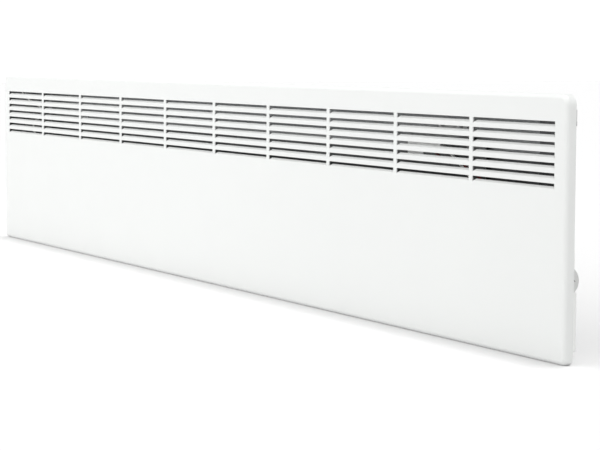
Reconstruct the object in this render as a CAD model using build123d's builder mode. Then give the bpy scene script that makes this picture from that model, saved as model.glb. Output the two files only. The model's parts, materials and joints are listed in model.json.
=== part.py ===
from build123d import *
import math
import os

os.makedirs("parts", exist_ok=True)

# ------------------------------------------------------------------
# Wall panel convector heater, millimetres.
# +X along the heater to its right end (seen from the room), +Y towards the
# wall, +Z up. The wall is the plane Y = 0. The origin is the centre of the
# four wall-fixing holes, on the wall.
# ------------------------------------------------------------------

# driving dimensions -------------------------------------------------
LENGTH = 1389.0          # front panel, end to end
HEIGHT = 235.0           # front panel, bottom to top
DEPTH = 72.0             # wall to front face
FLANGE = 10.0            # depth of the folded flange round the panel
SHEET = 1.0              # panel sheet
ORIGIN_H = 122.0         # height of the wall-fixing centre above the panel's bottom
EDGE_R = 4.0             # rolled front edge
TOP_R = 10.0             # top corners
LOW_R = 5.0              # bottom corners
LIP = 12.0               # return lip behind the top and bottom flanges

COLS, ROWS = 10, 7       # louvre field
COL_PITCH, SLOT_L = 136.0, 130.0
ROW_PITCH, SLOT_H = 9.0, 5.4
ROW1_TOP = 211.3         # top edge of the highest opening above the panel's bottom
FLAP_ANGLE = 50.0        # how far each louvre is bent inwards
FLAP_R, FLAP_RUN = 1.4, 2.6      # outer bend radius, flat beyond the bend
FLAP_TAPER = 4.2         # how much shorter each end of a louvre is at its tip

BEAD_L, BEAD_W, BEAD_D = 900.0, 11.0, 1.3   # stiffening beads in the casing's back
BEAD_H = (92.0, 152.0)
CASE_X = 634.0           # half length of the rear casing
CASE_T = 0.8
WALL_GAP = 22.0          # casing back to wall
CAP_T = 1.0
CAP_X = 640.0            # outer face of the end caps
CAP_BEVEL = 4.0          # bevel of the end caps' back edges

HOOK_X = 380.0           # bracket arms at +/- this
FIX_DX, FIX_DZ = 760.0, 100.0
FIX_R = 3.0
LIFT = 14.0              # travel that frees the hanger straps from the hooks

ELEM_Y, ELEM_H = -47.0, 86.0
TUBE_R = 4.0

DIAL_Y, DIAL_H = -47.3, 69.6
KNOB_R, KNOB_X0, KNOB_X1 = 13.5, 652.2, 664.2
SPINDLE_R = 3.0

SW_Y, SW_H = -43.0, 43.5
ROCK_X = 649.0           # rocker's pivot
ROCK_REST = -10.0        # tilt of the rocker at rest

GLAND_X, GLAND_Y = 535.0, -46.0
LEAD_R = 1.3

# derived ------------------------------------------------------------
YF = -DEPTH
YR = YF + FLANGE
ZB = -ORIGIN_H
ZT = ZB + HEIGHT
ZC = ZB + HEIGHT / 2
CASE_YIN = -WALL_GAP - CASE_T


def at_x(x):
    return Plane.YZ.offset(x)


def at_y(y):
    return Plane.XZ.offset(-y)


def at_z(z):
    return Plane.XY.offset(z)


def casing_profile(grow, y_front):
    """Corners (Y, Z) of the casing's section, grown outwards by grow."""
    k = grow * math.tan(math.radians(22.5))
    return [
        (y_front, ZB + 221.8 + grow),
        (-34.0 + k, ZB + 221.8 + grow),
        (-WALL_GAP + grow, ZB + 209.8 + k),
        (-WALL_GAP + grow, ZB + 26.2 - k),
        (-34.0 + k, ZB + 14.2 - grow),
        (y_front, ZB + 14.2 - grow),
    ]


def tube_run(name, points, radii, r):
    """Print the radii and the length of a lead's route."""
    print(name, "points", len(points), "smallest radius", min(radii), "tube radius", r)


# ------------------------------------------------------------------
# front panel: folded tray with a field of inward-bent louvres
# ------------------------------------------------------------------
with BuildPart() as panel_void:
    with BuildSketch(at_y(YR + 1)) as void_sk:
        with Locations((0, ZC)):
            Rectangle(LENGTH - 2 * SHEET, HEIGHT - 2 * SHEET)
        fillet(void_sk.vertices().group_by(Axis.Y)[-1], TOP_R - SHEET)
        fillet(void_sk.vertices().group_by(Axis.Y)[0], LOW_R - SHEET)
    extrude(amount=FLANGE - SHEET + 1)
    fillet(panel_void.faces().sort_by(Axis.Y)[0].edges(), EDGE_R - SHEET)


def louvre_points(z):
    """Corners and arc midpoints (Y, Z) of one louvre whose opening starts at height z."""
    a = math.radians(FLAP_ANGLE)
    cy = YF + FLAP_R
    ri = FLAP_R - SHEET
    p1 = (YF, z)
    p2 = (cy - FLAP_R * math.cos(a), z + FLAP_R * math.sin(a))
    p3 = (p2[0] + FLAP_RUN * math.sin(a), p2[1] + FLAP_RUN * math.cos(a))
    p4 = (p3[0] + SHEET * math.cos(a), p3[1] - SHEET * math.sin(a))
    p5 = (cy - ri * math.cos(a), z + ri * math.sin(a))
    p6 = (YF + SHEET, z)
    m1 = (cy - FLAP_R * math.cos(a / 2), z + FLAP_R * math.sin(a / 2))
    m2 = (cy - ri * math.cos(a / 2), z + ri * math.sin(a / 2))
    return p1, p2, p3, p4, p5, p6, m1, m2


SCREW_X = [-600.0, -360.0, -120.0, 120.0, 360.0, 600.0]
RIM_TOP_H, RIM_LOW_H = 227.0, 8.0
BAFFLE_SCREW_X = 668.0

with BuildPart() as front_panel:
    with BuildSketch(at_y(YR)) as tray_sk:
        with Locations((0, ZC)):
            Rectangle(LENGTH, HEIGHT)
        fillet(tray_sk.vertices().group_by(Axis.Y)[-1], TOP_R)
        fillet(tray_sk.vertices().group_by(Axis.Y)[0], LOW_R)
    extrude(amount=FLANGE)
    fillet(front_panel.faces().sort_by(Axis.Y)[0].edges(), EDGE_R)
    add(panel_void.part, mode=Mode.SUBTRACT)
    # return lips behind the top and bottom flanges
    with BuildSketch(at_y(YR)):
        with Locations((0, ZT - LIP / 2 - 0.5), (0, ZB + LIP / 2 + 0.5)):
            Rectangle(2 * 678.0, LIP + 1.0)
    extrude(amount=SHEET)
    # the openings
    with BuildSketch(at_y(YF + 2)):
        with Locations((0, ZB + ROW1_TOP - SLOT_H / 2 - (ROWS - 1) * ROW_PITCH / 2)):
            with GridLocations(COL_PITCH, ROW_PITCH, COLS, ROWS):
                Rectangle(SLOT_L, SLOT_H)
    extrude(amount=3, mode=Mode.SUBTRACT)
    # the louvres
    for i in range(COLS):
        x0 = (i - (COLS - 1) / 2) * COL_PITCH - SLOT_L / 2 + 0.3
        with BuildSketch(at_x(x0)):
            for j in range(ROWS):
                z = ZB + ROW1_TOP - SLOT_H - j * ROW_PITCH
                p1, p2, p3, p4, p5, p6, m1, m2 = louvre_points(z)
                with BuildLine():
                    Line((YF, z - 0.6), p1)
                    ThreePointArc(p1, m1, p2)
                    Line(p2, p3)
                    Line(p3, p4)
                    Line(p4, p5)
                    ThreePointArc(p5, m2, p6)
                    Line(p6, (YF + SHEET, z - 0.6))
                    Line((YF + SHEET, z - 0.6), (YF, z - 0.6))
                make_face()
        extrude(amount=SLOT_L - 0.6)
    # the louvres' ends are cut back towards the tip
    with BuildSketch(at_y(YF + 8.0)):
        for i in range(COLS):
            xc = (i - (COLS - 1) / 2) * COL_PITCH
            for j in range(ROWS):
                z = ZB + ROW1_TOP - SLOT_H - j * ROW_PITCH
                for sx in (-1, 1):
                    xe = xc + sx * SLOT_L / 2
                    with BuildLine():
                        Polyline(
                            (xe, z + 0.5), (xe - sx * 0.3, z + 0.5),
                            (xe - sx * (0.3 + FLAP_TAPER), z + 3.2),
                            (xe - sx * (0.3 + FLAP_TAPER), z + SLOT_H - 0.3),
                            (xe, z + SLOT_H - 0.3), close=True,
                        )
                    make_face()
    extrude(amount=8.5, mode=Mode.SUBTRACT)
    # pilot holes for the casing and baffle screws
    with BuildSketch(at_y(YR + 1)):
        with Locations(
            *[(x, ZB + h) for x in SCREW_X for h in (RIM_TOP_H, RIM_LOW_H)],
            (-BAFFLE_SCREW_X, ZB + RIM_TOP_H),
            (BAFFLE_SCREW_X, ZB + RIM_TOP_H),
        ):
            Circle(1.7)
    extrude(amount=3, mode=Mode.SUBTRACT)
front_panel.part.label = "front_panel"
export_step(front_panel.part, "parts/front_panel.step")

# ------------------------------------------------------------------
# small lugs inside the end flanges, near the top, with a rubber pad below
# ------------------------------------------------------------------
with BuildPart() as panel_lugs:
    with BuildSketch(at_z(ZB + 211.8)):
        with Locations(
            (LENGTH / 2 - SHEET - 1.45, YR - 1.3), (-LENGTH / 2 + SHEET + 1.45, YR - 1.3)
        ):
            Rectangle(2.9, 5.4)
    extrude(amount=10.2)
    fillet(panel_lugs.faces().sort_by(Axis.Y)[-2:].edges().filter_by(Axis.X), 1.0)
panel_lugs.part.label = "panel_lugs"
export_step(panel_lugs.part, "parts/panel_lugs.step")

with BuildPart() as lug_pads:
    with BuildSketch(at_z(ZB + 207.6)):
        with Locations(
            (LENGTH / 2 - SHEET - 1.45, YR - 0.5), (-LENGTH / 2 + SHEET + 1.45, YR - 0.5)
        ):
            Rectangle(2.9, 3.8)
    extrude(amount=4.2)
lug_pads.part.label = "lug_pads"
export_step(lug_pads.part, "parts/lug_pads.step")

# ------------------------------------------------------------------
# rear casing: one folded sheet, open to the front and at both ends
# ------------------------------------------------------------------
HANGER_H = 190.1
RIVET_PTS = [
    (sx * HOOK_X + dx, ZB + h)
    for sx in (-1, 1)
    for dx in (-25.5, 25.5)
    for h in (194.5, 203.5)
]
CAP_SCREW_PTS = [(sx * 630.5, ZB + h) for sx in (-1, 1) for h in (60.0, 180.0)]
ELEM_SCREW_PTS = [(x, ZB + h) for x in (546.0, -566.0) for h in (75.0, 97.0)]
SHIELD_PTS = [(x, ZB + h) for x in (-490.0, 470.0) for h in (52.0, 178.0)]
LIMIT_SCREW_PTS = [(420.0, ZB + 198.0), (454.0, ZB + 198.0)]
BLOCK_SCREW_PTS = [(577.0, ZB + 38.25), (577.0, ZB + 48.75)]
EARTH_PT = (618.0, ZB + 32.0)

with BuildPart() as rear_casing:
    with BuildSketch(at_x(-CASE_X)):
        with BuildLine():
            Polyline(*casing_profile(0, YR), close=True)
        make_face()
    extrude(amount=2 * CASE_X)
    with BuildSketch(at_x(-CASE_X - 1)):
        with BuildLine():
            Polyline(*casing_profile(-CASE_T, YR - 1), close=True)
        make_face()
    extrude(amount=2 * CASE_X + 2, mode=Mode.SUBTRACT)
    # rims that lie on the panel's lips
    with BuildSketch(at_y(YR + CASE_T)):
        with Locations((0, ZB + 226.5), (0, ZB + 9.25)):
            Rectangle(2 * CASE_X, 11.0)
    extrude(amount=CASE_T)
    # air inlet slots in the floor
    with BuildSketch(at_z(ZB + 10)):
        with Locations((-110.0, -47.5)):
            with GridLocations(100.0, 11.0, 10, 2):
                SlotOverall(86.0, 7.0)
    extrude(amount=8, mode=Mode.SUBTRACT)
    # cable gland hole
    with BuildSketch(at_z(ZB + 10)):
        with Locations((GLAND_X, GLAND_Y)):
            Circle(8.1)
    extrude(amount=8, mode=Mode.SUBTRACT)
    # holes in the rims
    with BuildSketch(at_y(YR + 2)):
        with Locations(*[(x, ZB + h) for x in SCREW_X for h in (RIM_TOP_H, RIM_LOW_H)]):
            Circle(1.9)
    extrude(amount=3, mode=Mode.SUBTRACT)
    # stiffening beads pressed into the back
    with BuildSketch(at_y(CASE_YIN + 0.2)):
        with Locations(*[(0, ZB + h) for h in BEAD_H]):
            SlotOverall(BEAD_L, BEAD_W)
    extrude(amount=BEAD_D + 0.2)
    with BuildSketch(at_y(-WALL_GAP + 1)):
        with Locations(*[(0, ZB + h) for h in BEAD_H]):
            SlotOverall(BEAD_L - 2 * CASE_T, BEAD_W - 2 * CASE_T)
    extrude(amount=BEAD_D + 1, mode=Mode.SUBTRACT)
    # holes in the back
    with BuildSketch(at_y(-20)):
        with Locations(*RIVET_PTS, *CAP_SCREW_PTS, *ELEM_SCREW_PTS, *SHIELD_PTS, *LIMIT_SCREW_PTS):
            Circle(1.7)
        with Locations(*BLOCK_SCREW_PTS):
            Circle(1.4)
        with Locations(EARTH_PT):
            Circle(2.05)
    extrude(amount=4, mode=Mode.SUBTRACT)
rear_casing.part.label = "rear_casing"
export_step(rear_casing.part, "parts/rear_casing.step")

# ------------------------------------------------------------------
# end caps that slip over the casing's ends
# ------------------------------------------------------------------
CAP_YF = YR + 0.9
BAFFLE_PTS = [(-53.0, ZB + 150.0), (-53.0, ZB + 195.0)]
HOUSING_SCREW_PTS = [(-38.0, ZB + 90.0), (-53.0, ZB + 21.5)]

with BuildPart() as cap_void_right:
    with BuildSketch(at_x(626.0)):
        with BuildLine():
            Polyline(*casing_profile(0.1, CAP_YF - 1), close=True)
        make_face()
    extrude(amount=CAP_X - CAP_T - 626.0)
    chamfer(cap_void_right.faces().sort_by(Axis.X)[-1].edges().sort_by(Axis.Y)[-3:], CAP_BEVEL - 0.6)

with BuildPart() as cap_void_left:
    with BuildSketch(at_x(-CAP_X + CAP_T)):
        with BuildLine():
            Polyline(*casing_profile(0.1, CAP_YF - 1), close=True)
        make_face()
    extrude(amount=CAP_X - CAP_T - 626.0)
    chamfer(cap_void_left.faces().sort_by(Axis.X)[0].edges().sort_by(Axis.Y)[-3:], CAP_BEVEL - 0.6)

with BuildPart() as end_cap_right:
    with BuildSketch(at_x(627.0)):
        with BuildLine():
            Polyline(*casing_profile(1.1, CAP_YF), close=True)
        make_face()
    extrude(amount=CAP_X - 627.0)
    chamfer(end_cap_right.faces().sort_by(Axis.X)[-1].edges().sort_by(Axis.Y)[-3:], CAP_BEVEL)
    add(cap_void_right.part, mode=Mode.SUBTRACT)
    with BuildSketch(at_y(-20)):
        with Locations(*CAP_SCREW_PTS[2:]):
            Circle(1.7)
    extrude(amount=4, mode=Mode.SUBTRACT)
    with BuildSketch(at_x(638.0)):
        with Locations(*BAFFLE_PTS, *HOUSING_SCREW_PTS):
            Circle(1.7)
        with Locations((DIAL_Y, ZB + DIAL_H)):
            Circle(5.0)
        with Locations((SW_Y, ZB + SW_H)):
            Rectangle(16.8, 22.8)
    extrude(amount=4, mode=Mode.SUBTRACT)
end_cap_right.part.label = "end_cap_right"
export_step(end_cap_right.part, "parts/end_cap_right.step")

with BuildPart() as end_cap_left:
    with BuildSketch(at_x(-CAP_X)):
        with BuildLine():
            Polyline(*casing_profile(1.1, CAP_YF), close=True)
        make_face()
    extrude(amount=CAP_X - 627.0)
    chamfer(end_cap_left.faces().sort_by(Axis.X)[0].edges().sort_by(Axis.Y)[-3:], CAP_BEVEL)
    add(cap_void_left.part, mode=Mode.SUBTRACT)
    with BuildSketch(at_y(-20)):
        with Locations(*CAP_SCREW_PTS[:2]):
            Circle(1.7)
    extrude(amount=4, mode=Mode.SUBTRACT)
    with BuildSketch(at_x(-CAP_X - 2)):
        with Locations(*BAFFLE_PTS):
            Circle(1.7)
    extrude(amount=4, mode=Mode.SUBTRACT)
end_cap_left.part.label = "end_cap_left"
export_step(end_cap_left.part, "parts/end_cap_left.step")

# ------------------------------------------------------------------
# baffles that close the panel's back behind the outermost louvres
# ------------------------------------------------------------------
BAFFLE_X = LENGTH / 2 - SHEET - 0.1
with BuildPart() as end_baffle_right:
    with BuildSketch(at_y(YR + CASE_T)):
        with Locations(((CAP_X + 0.1 + 690.0) / 2, ZB + 186.0)):
            Rectangle(690.0 - CAP_X - 0.1, 92.0)
        with Locations(((680.0 + BAFFLE_X) / 2, ZB + 175.0)):
            Rectangle(BAFFLE_X - 680.0, 62.0)
    extrude(amount=CASE_T)
    # outer edge, folded forward along the end flange's inner face
    with BuildSketch(at_x(BAFFLE_X - 0.8)):
        with Locations((YR + CASE_T - 3.4, ZB + 175.0)):
            Rectangle(6.8, 62.0)
    extrude(amount=0.8)
    with BuildSketch(at_x(CAP_X + 0.1)):
        with Locations(((YR + -46.0) / 2, ZB + 172.5)):
            Rectangle(-46.0 - YR, 65.0)
    extrude(amount=0.8)
    with BuildSketch(at_y(YR + 2)):
        with Locations((BAFFLE_SCREW_X, ZB + RIM_TOP_H)):
            Circle(1.9)
    extrude(amount=3, mode=Mode.SUBTRACT)
    with BuildSketch(at_x(CAP_X - 1)):
        with Locations(*BAFFLE_PTS):
            Circle(1.9)
    extrude(amount=3, mode=Mode.SUBTRACT)
end_baffle_right.part.label = "end_baffle_right"
export_step(end_baffle_right.part, "parts/end_baffle_right.step")

with BuildPart() as end_baffle_left:
    with BuildSketch(at_y(YR + CASE_T)):
        with Locations((-(CAP_X + 0.1 + 690.0) / 2, ZB + 186.0)):
            Rectangle(690.0 - CAP_X - 0.1, 92.0)
        with Locations((-(680.0 + BAFFLE_X) / 2, ZB + 175.0)):
            Rectangle(BAFFLE_X - 680.0, 62.0)
    extrude(amount=CASE_T)
    # outer edge, folded forward along the end flange's inner face
    with BuildSketch(at_x(-BAFFLE_X)):
        with Locations((YR + CASE_T - 3.4, ZB + 175.0)):
            Rectangle(6.8, 62.0)
    extrude(amount=0.8)
    with BuildSketch(at_x(-CAP_X - 0.9)):
        with Locations(((YR + -46.0) / 2, ZB + 172.5)):
            Rectangle(-46.0 - YR, 65.0)
    extrude(amount=0.8)
    with BuildSketch(at_y(YR + 2)):
        with Locations((-BAFFLE_SCREW_X, ZB + RIM_TOP_H)):
            Circle(1.9)
    extrude(amount=3, mode=Mode.SUBTRACT)
    with BuildSketch(at_x(-CAP_X - 2)):
        with Locations(*BAFFLE_PTS):
            Circle(1.9)
    extrude(amount=3, mode=Mode.SUBTRACT)
end_baffle_left.part.label = "end_baffle_left"
export_step(end_baffle_left.part, "parts/end_baffle_left.step")

# ------------------------------------------------------------------
# fasteners of the casing
# ------------------------------------------------------------------
RIM_PTS = [(x, ZB + h) for x in SCREW_X for h in (RIM_TOP_H, RIM_LOW_H)]
RIM_PTS += [(-BAFFLE_SCREW_X, ZB + RIM_TOP_H), (BAFFLE_SCREW_X, ZB + RIM_TOP_H)]

with BuildPart() as casing_screws:
    with BuildSketch(at_y(YR + CASE_T)):
        with Locations(*RIM_PTS):
            Circle(1.65)
    extrude(amount=6.3)
    with BuildSketch(at_y(YR + CASE_T + 2.0)):
        with Locations(*RIM_PTS):
            Circle(3.3)
    extrude(amount=2.0)
    fillet(casing_screws.faces().sort_by(Axis.Y)[-len(RIM_PTS):].edges(), 0.9)
    with BuildSketch(at_y(YR + CASE_T + 2.0)):
        with Locations(*RIM_PTS):
            Rectangle(2.8, 0.6)
            Rectangle(0.6, 2.8)
    extrude(amount=1.0, mode=Mode.SUBTRACT)
casing_screws.part.label = "casing_screws"
export_step(casing_screws.part, "parts/casing_screws.step")

BACK_SCREW_PTS = CAP_SCREW_PTS + ELEM_SCREW_PTS + LIMIT_SCREW_PTS
with BuildPart() as back_screws:
    # the end caps' back stands 1.1 mm proud of the casing's back
    for pts, y0 in ((CAP_SCREW_PTS, -WALL_GAP + 1.1), (ELEM_SCREW_PTS + LIMIT_SCREW_PTS, -WALL_GAP)):
        with BuildSketch(at_y(y0)):
            with Locations(*pts):
                Circle(1.65)
        extrude(amount=6.0)
        with BuildSketch(at_y(y0 + 1.8)):
            with Locations(*pts):
                Circle(3.0)
        extrude(amount=1.8)
        with BuildSketch(at_y(y0 + 1.8)):
            with Locations(*pts):
                Rectangle(2.6, 0.6)
                Rectangle(0.6, 2.6)
        extrude(amount=0.9, mode=Mode.SUBTRACT)
back_screws.part.label = "back_screws"
export_step(back_screws.part, "parts/back_screws.step")

with BuildPart() as baffle_screws:
    with BuildSketch(at_x(CAP_X - 5.0)):
        with Locations(*BAFFLE_PTS):
            Circle(1.65)
    extrude(amount=5.9)
    with BuildSketch(at_x(CAP_X + 0.9)):
        with Locations(*BAFFLE_PTS):
            Circle(3.0)
    extrude(amount=1.8)
    with BuildSketch(at_x(-CAP_X - 0.9)):
        with Locations(*BAFFLE_PTS):
            Circle(1.65)
    extrude(amount=5.9)
    with BuildSketch(at_x(-CAP_X - 2.7)):
        with Locations(*BAFFLE_PTS):
            Circle(3.0)
    extrude(amount=1.8)
    fillet(baffle_screws.faces().sort_by(Axis.X)[-2:].edges(), 0.8)
    fillet(baffle_screws.faces().sort_by(Axis.X)[:2].edges(), 0.8)
baffle_screws.part.label = "baffle_screws"
export_step(baffle_screws.part, "parts/baffle_screws.step")

# ------------------------------------------------------------------
# hanger straps: bridges riveted on the casing's back, hung on the hooks
# ------------------------------------------------------------------
with BuildPart() as hanger_left:
    with BuildSketch(at_z(ZB + HANGER_H)):
        with Locations((-HOOK_X - 24.5, -21.25), (-HOOK_X + 24.5, -21.25)):
            Rectangle(13.0, 1.5)
        with Locations((-HOOK_X - 18.75, -18.25), (-HOOK_X + 18.75, -18.25)):
            Rectangle(1.5, 7.5)
        with Locations((-HOOK_X, -15.25)):
            Rectangle(39.0, 1.5)
    extrude(amount=18.0)
    with BuildSketch(at_y(-20)):
        with Locations(*RIVET_PTS[:4]):
            Circle(1.7)
    extrude(amount=3, mode=Mode.SUBTRACT)
hanger_left.part.label = "hanger_left"
export_step(hanger_left.part, "parts/hanger_left.step")

with BuildPart() as hanger_right:
    with BuildSketch(at_z(ZB + HANGER_H)):
        with Locations((HOOK_X - 24.5, -21.25), (HOOK_X + 24.5, -21.25)):
            Rectangle(13.0, 1.5)
        with Locations((HOOK_X - 18.75, -18.25), (HOOK_X + 18.75, -18.25)):
            Rectangle(1.5, 7.5)
        with Locations((HOOK_X, -15.25)):
            Rectangle(39.0, 1.5)
    extrude(amount=18.0)
    with BuildSketch(at_y(-20)):
        with Locations(*RIVET_PTS[4:]):
            Circle(1.7)
    extrude(amount=3, mode=Mode.SUBTRACT)
hanger_right.part.label = "hanger_right"
export_step(hanger_right.part, "parts/hanger_right.step")

with BuildPart() as casing_rivets:
    with BuildSketch(at_y(-20.5)):
        with Locations(*RIVET_PTS):
            Circle(1.65)
    extrude(amount=2.3)
    with BuildSketch(at_y(-19.4)):
        with Locations(*RIVET_PTS):
            Circle(3.0)
    extrude(amount=1.1)
    with BuildSketch(at_y(-22.8)):
        with Locations(*RIVET_PTS):
            Circle(2.4)
    extrude(amount=1.2)
    fillet(casing_rivets.faces().sort_by(Axis.Y)[-len(RIVET_PTS):].edges(), 0.8)
    # the same rivets through the heat shield's stand-offs
    with BuildSketch(at_y(-WALL_GAP)):
        with Locations(*SHIELD_PTS):
            Circle(1.65)
    extrude(amount=4.4)
    with BuildSketch(at_y(-WALL_GAP + 1.1)):
        with Locations(*SHIELD_PTS):
            Circle(3.0)
    extrude(amount=1.1)
    with BuildSketch(at_y(-26.4)):
        with Locations(*SHIELD_PTS):
            Circle(2.4)
    extrude(amount=1.2)
casing_rivets.part.label = "casing_rivets"
export_step(casing_rivets.part, "parts/casing_rivets.step")

# ------------------------------------------------------------------
# wall bracket: two arms with hooks, joined by a rail
# ------------------------------------------------------------------
TONGUE_Z = ZB + 190.0
LIP_Z = ZB + 202.0
ARM_Z0 = -76.0
SPACER_Z = -67.0


# section (Y, Z) of the hook: a tongue from the arm and an upright lip
HOOK_PTS = [
    (-1.0, TONGUE_Z - 2.0),
    (-20.5, TONGUE_Z - 2.0),
    (-20.5, LIP_Z - 2.0),
    (-19.9, LIP_Z),
    (-19.1, LIP_Z),
    (-18.5, LIP_Z - 2.0),
    (-18.5, TONGUE_Z),
    (-1.0, TONGUE_Z),
]

with BuildPart() as bracket_arm_left:
    with BuildSketch(at_y(0)):
        with Locations((-HOOK_X, (ARM_Z0 + TONGUE_Z) / 2)):
            RectangleRounded(36.0, TONGUE_Z - ARM_Z0, 4.0)
    extrude(amount=2.0)
    with BuildSketch(at_x(-HOOK_X - 10.0)):
        with BuildLine():
            Polyline(*HOOK_PTS, close=True)
        make_face()
    extrude(amount=20.0)
    with BuildSketch(at_y(1)):
        with Locations((-HOOK_X, FIX_DZ / 2), (-HOOK_X, -FIX_DZ / 2)):
            Circle(FIX_R)
        with Locations((-HOOK_X - 10, 0), (-HOOK_X + 10, 0)):
            Circle(2.05)
        with Locations((-HOOK_X, SPACER_Z)):
            Circle(2.5)
    extrude(amount=4, mode=Mode.SUBTRACT)
bracket_arm_left.part.label = "bracket_arm_left"
export_step(bracket_arm_left.part, "parts/bracket_arm_left.step")

with BuildPart() as bracket_arm_right:
    with BuildSketch(at_y(0)):
        with Locations((HOOK_X, (ARM_Z0 + TONGUE_Z) / 2)):
            RectangleRounded(36.0, TONGUE_Z - ARM_Z0, 4.0)
    extrude(amount=2.0)
    with BuildSketch(at_x(HOOK_X - 10.0)):
        with BuildLine():
            Polyline(*HOOK_PTS, close=True)
        make_face()
    extrude(amount=20.0)
    with BuildSketch(at_y(1)):
        with Locations((HOOK_X, FIX_DZ / 2), (HOOK_X, -FIX_DZ / 2)):
            Circle(FIX_R)
        with Locations((HOOK_X - 10, 0), (HOOK_X + 10, 0)):
            Circle(2.05)
        with Locations((HOOK_X, SPACER_Z)):
            Circle(2.5)
    extrude(amount=4, mode=Mode.SUBTRACT)
bracket_arm_right.part.label = "bracket_arm_right"
export_step(bracket_arm_right.part, "parts/bracket_arm_right.step")

RAIL_RIVETS = [(sx * HOOK_X + dx, 0.0) for sx in (-1, 1) for dx in (-10.0, 10.0)]

with BuildPart() as bracket_rail:
    with BuildSketch(at_y(-2)):
        RectangleRounded(820.0, 24.0, 4.0)
        with Locations(*RAIL_RIVETS):
            Circle(2.05, mode=Mode.SUBTRACT)
    extrude(amount=2.0)
bracket_rail.part.label = "bracket_rail"
export_step(bracket_rail.part, "parts/bracket_rail.step")

with BuildPart() as bracket_rivets:
    with BuildSketch(at_y(-0.1)):
        with Locations(*RAIL_RIVETS):
            Circle(2.0)
    extrude(amount=3.9)
    with BuildSketch(at_y(-4.0)):
        with Locations(*RAIL_RIVETS):
            Circle(3.8)
    extrude(amount=1.4)
    fillet(bracket_rivets.faces().sort_by(Axis.Y)[:4].edges(), 1.0)
bracket_rivets.part.label = "bracket_rivets"
export_step(bracket_rivets.part, "parts/bracket_rivets.step")

with BuildPart() as wall_spacers:
    with BuildSketch(at_y(-2)):
        with Locations((-HOOK_X, SPACER_Z), (HOOK_X, SPACER_Z)):
            RectangleRounded(20.0, 14.0, 2.0)
    extrude(amount=WALL_GAP - 2.3)
    fillet(wall_spacers.faces().sort_by(Axis.Y)[:2].edges(), 1.2)
    with BuildSketch(at_y(-0.3)):
        with Locations((-HOOK_X, SPACER_Z), (HOOK_X, SPACER_Z)):
            Circle(2.4)
    extrude(amount=1.7)
wall_spacers.part.label = "wall_spacers"
export_step(wall_spacers.part, "parts/wall_spacers.step")

# ------------------------------------------------------------------
# heat shield between the element and the casing's back
# ------------------------------------------------------------------
SH_Y = -26.4
with BuildPart() as heat_shield:
    with BuildSketch(at_y(SH_Y + 0.6)):
        with Locations((-10.0, ZB + 113.0)):
            Rectangle(1020.0, 146.0)
        with Locations(*SHIELD_PTS):
            Circle(1.7, mode=Mode.SUBTRACT)
    extrude(amount=0.6)
    # stiffening folds along both long edges
    with BuildSketch(at_y(SH_Y)):
        with Locations((-10.0, ZB + 40.3), (-10.0, ZB + 185.7)):
            Rectangle(1020.0, 0.6)
    extrude(amount=4.0)
heat_shield.part.label = "heat_shield"
export_step(heat_shield.part, "parts/heat_shield.step")

with BuildPart() as shield_standoffs:
    with BuildSketch(at_y(CASE_YIN)):
        with Locations(*SHIELD_PTS):
            Circle(4.0)
            Circle(1.7, mode=Mode.SUBTRACT)
    extrude(amount=3.0)
shield_standoffs.part.label = "shield_standoffs"
export_step(shield_standoffs.part, "parts/shield_standoffs.step")

# ------------------------------------------------------------------
# heating element: finned profile round a sheathed rod
# ------------------------------------------------------------------
FIN_X0, FIN_X1 = -540.0, 520.0
ROD_X0, ROD_X1 = -578.0, 558.0
EZ = ZB + ELEM_H

with BuildPart() as slit_cutter:
    n_slits = 34
    for i in range(n_slits):
        xs = FIN_X0 + 20.0 + i * (FIN_X1 - FIN_X0 - 40.0) / (n_slits - 1)
        with BuildSketch(at_x(xs - 0.8)):
            with Locations((ELEM_Y, EZ)):
                Circle(36.0)
                Circle(13.0, mode=Mode.SUBTRACT)
        extrude(amount=1.6)

with BuildPart() as heating_element:
    with BuildSketch(at_x(FIN_X0)):
        with Locations((ELEM_Y, EZ)):
            Circle(7.0)
        for ang in (55.0, 125.0, 235.0, 305.0):
            c, s = math.cos(math.radians(ang)), math.sin(math.radians(ang))
            with Locations(Location((ELEM_Y + 18.0 * c, EZ + 18.0 * s, 0), (0, 0, ang))):
                Rectangle(26.0, 1.8)
            for d, w in ((14.0, 6.0), (20.0, 8.0), (26.0, 9.0)):
                with Locations(Location((ELEM_Y + d * c, EZ + d * s, 0), (0, 0, ang))):
                    Rectangle(1.3, w)
        with Locations((ELEM_Y, EZ)):
            Circle(TUBE_R + 0.05, mode=Mode.SUBTRACT)
    extrude(amount=FIN_X1 - FIN_X0)
    add(slit_cutter.part, mode=Mode.SUBTRACT)
heating_element.part.label = "heating_element"
export_step(heating_element.part, "parts/heating_element.step")

with BuildPart() as sheath_rod:
    with BuildSketch(at_x(ROD_X0)):
        with Locations((ELEM_Y, EZ)):
            Circle(TUBE_R)
    extrude(amount=ROD_X1 - ROD_X0)
sheath_rod.part.label = "sheath_rod"
export_step(sheath_rod.part, "parts/sheath_rod.step")

with BuildPart() as end_insulators:
    with BuildSketch(at_x(ROD_X1)):
        with Locations((ELEM_Y, EZ)):
            Circle(4.8)
            Circle(1.6, mode=Mode.SUBTRACT)
    extrude(amount=8.0)
    with BuildSketch(at_x(ROD_X0 - 8.0)):
        with Locations((ELEM_Y, EZ)):
            Circle(4.8)
            Circle(1.6, mode=Mode.SUBTRACT)
    extrude(amount=8.0)
    chamfer(end_insulators.faces().sort_by(Axis.X)[-1].edges().sort_by(SortBy.RADIUS)[-1], 0.8)
    chamfer(end_insulators.faces().sort_by(Axis.X)[0].edges().sort_by(SortBy.RADIUS)[-1], 0.8)
end_insulators.part.label = "end_insulators"
export_step(end_insulators.part, "parts/end_insulators.step")

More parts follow.
